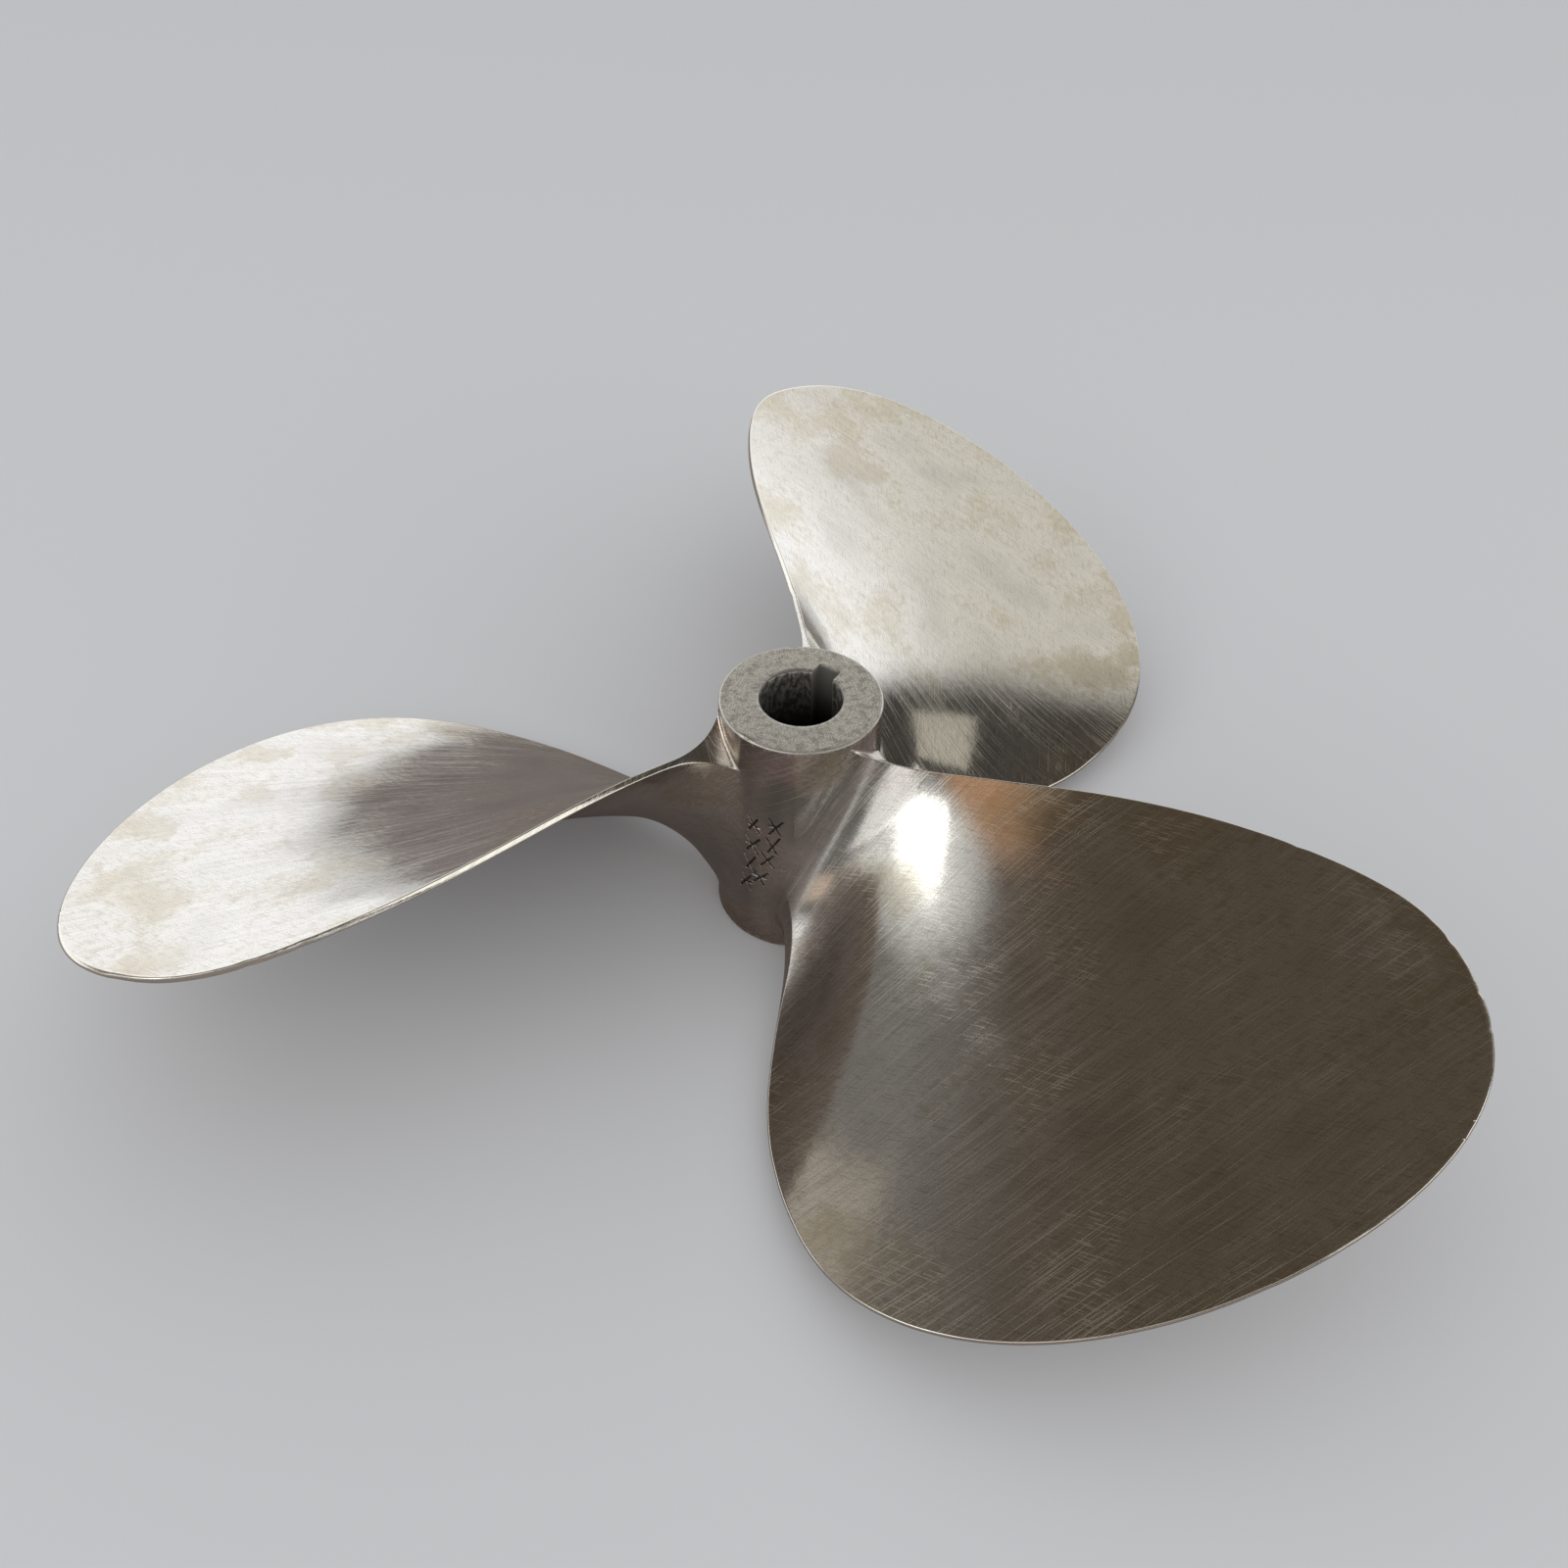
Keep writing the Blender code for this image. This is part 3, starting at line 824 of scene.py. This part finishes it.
def hub_turned_grid():
    """The hub's aft rim, its face, the bore and the forward face, as one grid.

    The brushing runs round on the ends and along the bore.
    """
    top, bottom = HUB_LENGTH - MOUTH_CHAMFER, MOUTH_CHAMFER
    aft = hub_end(HUB_LENGTH, HUB_LENGTH - HUB_EDGE_ROUND, BORE_AFT_RADIUS + MOUTH_CHAMFER, 1)
    bore = [at_height(keyed_outline(bore_radius_at(height), height), height)
            for height in np.linspace(top, bottom, BORE_STEPS + 1)]
    forward = hub_end(0.0, HUB_EDGE_ROUND, bore_radius_at(bottom) + MOUTH_CHAMFER, -1)[::-1]
    grid = np.stack(aft + bore + forward)
    grid = np.concatenate([grid, grid[:, :1]], 1)
    rows = [HUB_ENDS] * len(aft) + [BORE] * len(bore) + [HUB_ENDS] * len(forward)
    in_bore = np.array(rows)[:, None] == BORE
    turns = np.minimum(np.arange(HUB_TURNS + 1), HUB_TURNS - np.arange(HUB_TURNS + 1))
    machined = np.where(in_bore, np.where(turns <= KEY_EDGE_TURN, KEYWAY, BORE), HUB_ENDS)
    radius, height = np.hypot(grid[..., 0], grid[..., 1]), grid[..., 2]
    # In the bore the edge distance runs from the nearer mouth. Deep inside it sets painted shade, and at
    # the mouth a bright line that is partly wear and partly a painted highlight
    from_mouth = np.minimum(abs(height - HUB_LENGTH), abs(height)) + MOUTH_LEAST
    from_rim = RIM_PACE * abs(HUB_AFT_RADIUS - HUB_EDGE_ROUND + RIM_MIDDLE - radius) + RIM_LEAST
    around = np.arange(HUB_TURNS + 1) * HUB_TURN * HUB_MEAN_RADIUS
    brush = np.where(in_bore[..., None], rolled_out(height, around, 0.0, -BRUSH_APART),
                     rolled_out(around, radius, 0.0, -BRUSH_APART))
    return grid, (np.where(in_bore, from_mouth, from_rim), 1.0, machined, 0.0), brush


def new_object(name, data):
    made = bpy.data.objects.new(name, data)
    bpy.context.scene.collection.objects.link(made)
    return made


def make_propeller():
    patches = Patchwork()
    for blade in range(BLADES):
        grids, loop, slopes = blade_grids(blade)
        for radius, turn, height, edge_distance, brush in grids:
            points = to_space(radius, turn + blade_turn(blade), height)
            hub_share = ROOT_TONE * (1 - smooth_step((radius - HUB_AFT_RADIUS) / HUB_TONE_REACH))
            patches.add_grid(points, (edge_distance, hub_share, 0.0, 0.0), brush)
    patches.add_patch(*hub_side(loop, slopes))
    patches.add_grid(*hub_turned_grid())
    mesh = patches.mesh("propeller")
    mesh.shade_smooth()
    mesh.set_sharp_from_angle(angle=SHARP_ANGLE)
    exact = np.zeros(len(mesh.vertices) * 3, np.float32)
    mesh.attributes["exact_normal"].data.foreach_get("vector", exact)
    mesh.normals_split_custom_set_from_vertices(exact.reshape(-1, 3).tolist())
    mesh.attributes.remove(mesh.attributes["exact_normal"])
    return new_object("propeller", mesh)


# Looks start here. Colours are linear, with alpha.

CLEAN_BRONZE = (0.84, 0.82, 0.77, 1)
TAN_BRONZE = (0.67, 0.61, 0.47, 1)
GREY_BRONZE = (0.66, 0.64, 0.60, 1)
STAIN_BRONZE = (0.59, 0.52, 0.38, 1)
DULL_BRONZE = (0.42, 0.39, 0.35, 1)
BRIGHT_BRONZE = (0.86, 0.83, 0.75, 1)
# Painted reflection tones of the hub's side, reddish-brown and grey-green, for the dark floor it mirrors
HUB_REDDISH_REFLECTION = (0.54, 0.41, 0.365, 1)
HUB_GREY_GREEN_REFLECTION = (0.27, 0.265, 0.24, 1)
HUB_DARK = (0.18, 0.155, 0.135, 1)
TURNED_BRONZE = (0.66, 0.64, 0.59, 1)
TURNED_DARK = (0.17, 0.155, 0.135, 1)
BORE_DARK = (0.07, 0.062, 0.052, 1)
BORE_LIGHT = (0.24, 0.225, 0.20, 1)
# Painted shade deep inside the bore
BORE_DEPTH_SHADE = (0.015, 0.013, 0.011, 1)
STRUCK_DARK = (0.05, 0.04, 0.035, 1)

# Layers of colour, each over the ones before it: a pattern of the surface, its
# values where the layer starts and where it shows most, how much then, colour
BLADE_LAYERS = (
    ("ragged_cloud", 0.02, 0.75, 0.75, TAN_BRONZE),
    ("ragged_cloud", 0.0, -0.70, 0.6, GREY_BRONZE),
    ("ragged_stain", -0.06, 0.44, 0.5, STAIN_BRONZE),
    ("strokes", 0.55, 0.32, 0.26, DULL_BRONZE),
    ("dashes", 0.58, 0.72, 0.36, DULL_BRONZE),
    ("mottle", 0.46, 0.75, 0.18, DULL_BRONZE),
    ("speckle", 0.30, 0.75, 0.30, DULL_BRONZE),
)
# The hub's side: painted reflection tones for the dark floor it mirrors, with dark strokes and specks over
# them
HUB_REFLECTION_LAYERS = (
    ("cloud", -0.2, 0.2, 1.0, HUB_REDDISH_REFLECTION),
    ("strokes", 0.30, 0.70, 0.25, HUB_DARK),
    ("speckle", 0.40, 0.75, 0.35, HUB_DARK),
)
END_LAYERS = (
    ("strokes", 0.35, 0.75, 0.25, TURNED_DARK),
    ("mottle", 0.44, 0.68, 0.5, TURNED_DARK),
    ("speckle", 0.40, 0.64, 0.65, TURNED_DARK),
)
# The bore: dark, with lighter mottles and a lighter keyway, and painted shade that darkens it deeper in, by
# distance from the mouth
BORE_LAYERS = (
    ("mottle", 0.42, 0.62, 1.0, BORE_LIGHT),
    ("machined", KEYWAY - 0.6, KEYWAY - 0.4, 1.0, BORE_LIGHT),
    ("edge_distance", 3.0, 26.0, 1.0, BORE_DEPTH_SHADE),
)
MARK_LAYER = ("struck", 0.05, 0.55, 0.9, STRUCK_DARK)
EDGE_LAYER = ("ragged_edge", 0.5, -0.3, 0.9, BRIGHT_BRONZE)
# How strongly the painted reflection tone covers the hub
HUB_PAINTED_REFLECTION = 0.8
# Scratches are lightened towards bright bronze: bare metal in them, and partly a painted glint
SCRATCH_SHINE = 0.5
BORE_OXIDE = 0.6
TURNED_OXIDE = 0.15

# Mottle (size of its grain, detail and roughness of the noise) and specks, and
# how ragged the mottle makes the clouds, the stains and the bright edges
MOTTLE = (3.2, 3.0, 0.65)
SPECK_SIZE = 0.45
RAGGEDNESS = 0.9
EDGE_RAGGEDNESS = 1.0

# Strokes: angle to the main brushing, length, width, detail and roughness of
# the noise, seed. In order: fine brushing, long scratches, stray ones, dashes.
STROKES = ((0, 20.0, 0.45, 2.0, 0.65, 1), (-7, 42.0, 0.30, 0.0, 0.5, 3),
           (-60, 7.0, 0.36, 0.0, 0.5, 4), (-55, 6.0, 0.6, 1.0, 0.5, 5))
SEEDS_APART = 17.3
FINE_FROM = (0.42, 0.74)
SCRATCH_FROM = (0.68, 0.78)
STRAY_SCUFFED = (-0.3, 0.3)

# Roughness of the blades, from clean to scuffed, and what other patterns add
BLADE_ROUGHNESS = (-0.3, 0.5, 0.06, 0.15)
WELL_SCUFFED = (-0.1, 0.8)
ROUGHENING = (("fine", 0.04), ("mottle", 0.03), ("scratches", 0.11), ("hub", 0.11),
              ("well_scuffed", 0.05), ("turned", 0.16))

# Relief in millimetres, and how much of it is left on turned faces
STROKE_RELIEF = 0.0045
SCRATCH_RELIEF = 0.006
MOTTLE_RELIEF = 0.016
TURNED_RELIEF = 0.3

# The studio's bright walls: azimuth, cosines of the angles to it between which
# the wall begins, sines of the elevations between which it ends. DARK_SIDES
# are such cosines, WALL_SHADING and CEILING_FROM such sines.
WALLS = ((10.0, (0.52, 0.68), (0.76, 0.88)), (-52.0, (0.76, 0.87), (0.30, 0.45)))
WALL_LOW = (1.20, 1.21, 1.25, 1)
WALL_HIGH = (0.72, 0.70, 0.645, 1)
WALL_SHADING = (0.16, 0.60)
SIDE_COLOUR = (0.20, 0.19, 0.18, 1)
DARK_AZIMUTH = 110.0
DARK_SIDES = (0.45, 0.66)
DARK_COLOUR = (0.065, 0.060, 0.055, 1)
CEILING_FROM = (0.64, 0.92)
CEILING_COLOUR = (0.092, 0.074, 0.056, 1)
# Soft glows: azimuth, elevation, cosines of the angles between which the glow
# grows, colour
GLOWS = ((-138, 49, (0.962, 0.996), (0.46, 0.28, 0.17, 1)),
         (-106, 1, (0.978, 0.9985), (0.74, 0.60, 0.49, 1)),
         (-110, 30, (0.915, 0.985), (0.76, 0.77, 0.76, 1)))
BACKDROP_COLOUR = (0.62, 0.63, 0.65, 1)
SOFT_LIGHT = (0.66, 0.67, 0.685, 1)

# Softboxes: azimuth, elevation, width, height, radiance, colour
SOFTBOX_DISTANCE = 2.2
SOFTBOXES = {
    "window": (-116, 32, 0.86, 0.62, 1.45, (0.98, 0.99, 1.0)),
    "window_side": (-150, 20, 1.8, 0.66, 0.9, (0.97, 0.98, 1.0)),
    "window_top": (170, 53, 1.5, 0.6, 0.75, (1.0, 0.98, 0.95)),
    "left_panel": (-54, 38, 0.75, 0.65, 0.20, (1.0, 0.88, 0.68)),
    "right_panel": (81, 28, 0.62, 0.44, 0.46, (1.0, 0.96, 0.82)),
    "right_window": (118, 14, 2.0, 0.78, 1.1, (1.0, 0.99, 0.96)),
}

# The floor is pale. As the metal mirrors it, it is painted darker within about a metre, as painted shade in
# the reflections, and painted brighter beyond, as painted light in them
FLOOR_SIZE = 12.0
FLOOR_COLOUR = (0.70, 0.70, 0.71, 1)
MIRRORED_FLOOR_SHADE = (0.28, 0.24, 0.225, 1)
MIRRORED_FLOOR_FAR_LIGHT = (1.0, 1.0, 1.0, 1)
FLOOR_NEAR = (1.0, 1.1)
FLOOR_ROUGHNESS = 0.9
FLOOR_SPECULAR = 0.2

# The camera: millimetres, shares of the frame, degrees, and its place in
# metres above the floor
CAMERA_SENSOR = 36.0
CAMERA_LENS = 34.848
CAMERA_SHIFT = (-0.01349, 0.00423)
CAMERA_DOWN = 43.9415
CAMERA_ROLL = 1.7576
CAMERA_PLACE = (0.002193, -0.369199, 0.404622)


class Nodes:
    """Short calls that add nodes to a tree and link them."""

    def __init__(self, tree):
        self.tree = tree

    def add(self, kind, **settings):
        node = self.tree.nodes.new(kind)
        for name, value in settings.items():
            setattr(node, name, value)
        return node

    def feed(self, socket, value):
        if isinstance(value, bpy.types.NodeSocket):
            self.tree.links.new(value, socket)
        else:
            socket.default_value = value

    def feed_all(self, node, **values):
        """Feed inputs by their names, with _ for a space."""
        for name, value in values.items():
            self.feed(node.inputs[name.replace("_", " ")], value)

    def math(self, operation, *values, kind="ShaderNodeMath", output="Value"):
        node = self.add(kind, operation=operation)
        for socket, value in zip(node.inputs, values):
            self.feed(socket, value)
        return node.outputs[output]

    def vector_math(self, operation, *values):
        output = "Value" if operation in ("DOT_PRODUCT", "LENGTH") else "Vector"
        return self.math(operation, *values, kind="ShaderNodeVectorMath", output=output)

    def ramp(self, value, low, high, to_low=0.0, to_high=1.0):
        """A smooth step from to_low to to_high."""
        node = self.add("ShaderNodeMapRange", interpolation_type="SMOOTHSTEP")
        self.feed_all(node, Value=value, From_Min=low, From_Max=high, To_Min=to_low, To_Max=to_high)
        return node.outputs["Result"]

    def mix(self, share, first, second):
        node = self.add("ShaderNodeMix", data_type="RGBA")
        self.feed_all(node, Factor=share, A=first, B=second)
        return node.outputs["Result"]


def attribute(nodes, name, output="Fac"):
    return nodes.add("ShaderNodeAttribute", attribute_name=name).outputs[output]


def pattern(nodes, place, scale, detail=0.0, roughness=0.5):
    """Flat noise whose grain is one over the scale."""
    node = nodes.add("ShaderNodeTexNoise", noise_dimensions="2D")
    nodes.feed_all(node, Vector=place, Scale=scale, Detail=detail, Roughness=roughness)
    return node.outputs["Fac"]


def brushed(nodes, brush, angle, length, width, detail, roughness, seed):
    """Noise drawn out into strokes, at an angle to the main brushing."""
    turn = math.radians(angle)
    ahead = Vector((math.cos(turn), math.sin(turn), 0))
    beside = Vector((-math.sin(turn), math.cos(turn), 0))
    parts = nodes.add("ShaderNodeCombineXYZ")
    for socket, axis, size in zip(parts.inputs, (ahead, beside), (length, width)):
        along = nodes.vector_math("DOT_PRODUCT", brush, tuple(axis / size))
        nodes.feed(socket, nodes.math("ADD", along, seed * SEEDS_APART))
    return pattern(nodes, parts.outputs[0], 1.0, detail, roughness)


class Surface:
    """Patterns of the bronze that its colour, roughness and relief share."""

    def __init__(self, nodes):
        brush = attribute(nodes, "brush", "Vector")
        fields = nodes.add("ShaderNodeSeparateXYZ")
        nodes.feed(fields.inputs[0], attribute(nodes, "stains", "Vector"))
        self.cloud, stain, self.scuff = fields.outputs
        grain, *noise_settings = MOTTLE
        self.mottle = pattern(nodes, brush, 1 / grain, *noise_settings)
        self.speckle = pattern(nodes, brush, 1 / SPECK_SIZE)
        ragged = nodes.math("MULTIPLY_ADD", self.mottle, RAGGEDNESS, -RAGGEDNESS / 2)
        self.ragged_cloud = nodes.math("ADD", self.cloud, ragged)
        self.ragged_stain = nodes.math("ADD", stain, ragged)
        self.add_parts(nodes)
        self.add_strokes(nodes, brush)

    def add_parts(self, nodes):
        """Where the hub, its machined faces, its strike marks and the worn edges are."""
        self.hub = attribute(nodes, "hub_share")
        self.machined = attribute(nodes, "machined")
        self.turned, self.bore = [nodes.ramp(self.machined, part - 0.6, part - 0.4)
                                  for part in (HUB_ENDS, BORE)]
        self.not_turned = nodes.math("SUBTRACT", 1.0, self.turned)
        self.struck = attribute(nodes, "struck")
        self.edge_distance = attribute(nodes, "edge_distance")
        self.ragged_edge = nodes.math("MULTIPLY_ADD", self.mottle, -EDGE_RAGGEDNESS, self.edge_distance)

    def add_strokes(self, nodes, brush):
        self.strokes, long, stray, self.dashes = [brushed(nodes, brush, *each) for each in STROKES]
        on_blade = nodes.math("SUBTRACT", 1.0, self.hub)
        self.fine = nodes.math("MULTIPLY", nodes.ramp(self.strokes, *FINE_FROM), on_blade)
        scuffed = nodes.ramp(self.scuff, *STRAY_SCUFFED)
        stray = nodes.math("MULTIPLY", nodes.ramp(stray, *SCRATCH_FROM), scuffed)
        self.scratches = nodes.math("MAXIMUM", nodes.ramp(long, *SCRATCH_FROM), stray)
        self.well_scuffed = nodes.ramp(self.scuff, *WELL_SCUFFED)


def layered(nodes, surface, colour, layers):
    for name, start, most, amount, over in layers:
        share = nodes.ramp(getattr(surface, name), start, most, 0.0, amount)
        colour = nodes.mix(share, colour, over)
    return colour


def bronze_colour(nodes, surface):
    colour = layered(nodes, surface, CLEAN_BRONZE, BLADE_LAYERS)
    # The hub's side takes its painted reflection tone
    painted_reflection = layered(nodes, surface, HUB_GREY_GREEN_REFLECTION, HUB_REFLECTION_LAYERS)
    colour = nodes.mix(nodes.math("MULTIPLY", surface.hub, HUB_PAINTED_REFLECTION), colour, painted_reflection)
    colour = nodes.mix(surface.turned, colour, layered(nodes, surface, TURNED_BRONZE, END_LAYERS))
    colour = nodes.mix(surface.bore, colour, layered(nodes, surface, BORE_DARK, BORE_LAYERS))
    colour = layered(nodes, surface, colour, [MARK_LAYER])
    bright = nodes.math("MULTIPLY", surface.scratches, SCRATCH_SHINE)
    bright = nodes.math("MULTIPLY", bright, surface.not_turned)
    return layered(nodes, surface, nodes.mix(bright, colour, BRIGHT_BRONZE), [EDGE_LAYER])


def bronze_roughness(nodes, surface):
    rough = nodes.ramp(surface.scuff, *BLADE_ROUGHNESS)
    for name, amount in ROUGHENING:
        rough = nodes.math("MULTIPLY_ADD", getattr(surface, name), amount, rough)
    return rough


def bronze_relief(nodes, surface):
    """Height of the fine texture, in millimetres."""
    height = nodes.math("MULTIPLY", surface.strokes, STROKE_RELIEF)
    height = nodes.math("MULTIPLY_ADD", surface.scratches, -SCRATCH_RELIEF, height)
    left = nodes.math("MULTIPLY_ADD", surface.not_turned, 1 - TURNED_RELIEF, TURNED_RELIEF)
    height = nodes.math("MULTIPLY", height, left)
    return nodes.math("MULTIPLY_ADD", surface.mottle, MOTTLE_RELIEF, height)


def new_material(name):
    """A material, its nodes and its shader."""
    material = bpy.data.materials.new(name)
    material.use_nodes = True
    return material, Nodes(material.node_tree), material.node_tree.nodes["Principled BSDF"]


def make_bronze():
    """Pale bronze, brushed by hand, with stains, scratches partly lightened as a painted glint, bright
    edges, a painted reflection tone on the hub's side and painted shade deep in the bore.
    """
    material, nodes, shader = new_material("worn_bronze")
    surface = Surface(nodes)
    bare = nodes.math("MULTIPLY_ADD", surface.bore, -BORE_OXIDE, 1.0)
    metallic = nodes.math("MULTIPLY_ADD", surface.turned, -TURNED_OXIDE, bare)
    bump = nodes.add("ShaderNodeBump")
    nodes.feed_all(bump, Height=bronze_relief(nodes, surface), Strength=1.0, Distance=MM)
    nodes.feed_all(shader, Base_Color=bronze_colour(nodes, surface), Metallic=metallic,
                   Roughness=bronze_roughness(nodes, surface), Normal=bump.outputs["Normal"])
    return material


def heading(azimuth, elevation=0.0):
    """Direction of an azimuth (0 is towards +Y, growing towards +X) and an elevation."""
    a, e = math.radians(azimuth), math.radians(elevation)
    return math.sin(a) * math.cos(e), math.cos(a) * math.cos(e), math.sin(e)


def make_world():
    """A bright wall behind the object, dim sides, a dark ceiling, and soft light on the floor."""
    world = bpy.data.worlds.new("studio")
    bpy.context.scene.world = world
    world.use_nodes = True
    nodes = Nodes(world.node_tree)
    direction = nodes.add("ShaderNodeTexCoord").outputs["Generated"]
    level = nodes.vector_math("NORMALIZE", nodes.vector_math("MULTIPLY", direction, (1, 1, 0)))
    up = nodes.vector_math("DOT_PRODUCT", direction, (0, 0, 1))

    def facing(towards, view, reach):
        return nodes.ramp(nodes.vector_math("DOT_PRODUCT", view, towards), *reach)

    seen = nodes.mix(facing(heading(DARK_AZIMUTH), level, DARK_SIDES), SIDE_COLOUR, DARK_COLOUR)
    seen = nodes.mix(nodes.ramp(up, *CEILING_FROM), seen, CEILING_COLOUR)
    for azimuth, elevation, reach, colour in GLOWS:
        seen = nodes.mix(facing(heading(azimuth, elevation), direction, reach), seen, colour)
    walls = [nodes.math("MULTIPLY", facing(heading(azimuth), level, sides), nodes.ramp(up, *top, 1.0, 0.0))
             for azimuth, sides, top in WALLS]
    wall_colour = nodes.mix(nodes.ramp(up, *WALL_SHADING), WALL_LOW, WALL_HIGH)
    seen = nodes.mix(nodes.math("MAXIMUM", *walls), seen, wall_colour)
    path = nodes.add("ShaderNodeLightPath").outputs
    seen = nodes.mix(path["Is Diffuse Ray"], seen, SOFT_LIGHT)
    seen = nodes.mix(path["Is Camera Ray"], seen, BACKDROP_COLOUR)
    nodes.feed_all(world.node_tree.nodes["Background"], Color=seen, Strength=1.0)


def make_softbox(name, azimuth, elevation, width, height, radiance, colour):
    """A rectangular light that looks equally bright whatever its size."""
    light = bpy.data.lights.new(name, "AREA")
    light.shape = "RECTANGLE"
    light.size, light.size_y = width, height
    light.energy = radiance * width * height * math.pi
    light.color = colour
    lamp = new_object(name, light)
    place = Vector(heading(azimuth, elevation)) * SOFTBOX_DISTANCE
    lamp.matrix_world = Matrix.Translation(place) @ place.to_track_quat("Z", "Y").to_matrix().to_4x4()
    lamp.visible_camera = False


def make_floor():
    bpy.ops.mesh.primitive_plane_add(size=FLOOR_SIZE, location=(0, 0, HUB_BASE * MM))
    floor = bpy.context.object
    floor.name = "floor"
    material, nodes, shader = new_material("pale_floor")
    # Glossy rays see the floor with painted shade close by and painted light further off
    in_mirror = nodes.add("ShaderNodeLightPath").outputs["Is Glossy Ray"]
    away = nodes.vector_math("LENGTH", nodes.add("ShaderNodeNewGeometry").outputs["Position"])
    painted_mirror_tone = nodes.mix(nodes.ramp(away, *FLOOR_NEAR), MIRRORED_FLOOR_SHADE, MIRRORED_FLOOR_FAR_LIGHT)
    nodes.feed_all(shader, Base_Color=nodes.mix(in_mirror, FLOOR_COLOUR, painted_mirror_tone),
                   Roughness=FLOOR_ROUGHNESS, Specular_IOR_Level=FLOOR_SPECULAR)
    floor.data.materials.append(material)


def make_camera():
    data = bpy.data.cameras.new("camera")
    data.sensor_width = CAMERA_SENSOR
    data.lens = CAMERA_LENS
    data.shift_x, data.shift_y = CAMERA_SHIFT
    camera = new_object("camera", data)
    place = Matrix.Translation(Vector(CAMERA_PLACE) + Vector((0, 0, HUB_BASE * MM)))
    tilt = Matrix.Rotation(math.radians(90 - CAMERA_DOWN), 4, "X")
    camera.matrix_world = place @ tilt @ Matrix.Rotation(math.radians(CAMERA_ROLL), 4, "Z")
    bpy.context.scene.camera = camera


noise.seed_set(SEED)
propeller = make_propeller()
propeller.data.materials.append(make_bronze())
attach(propeller, "root")
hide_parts("propeller_casting")
make_world()
for name, settings in SOFTBOXES.items():
    make_softbox(name, *settings)
make_floor()
make_camera()
bpy.context.scene.view_settings.view_transform = "Standard"
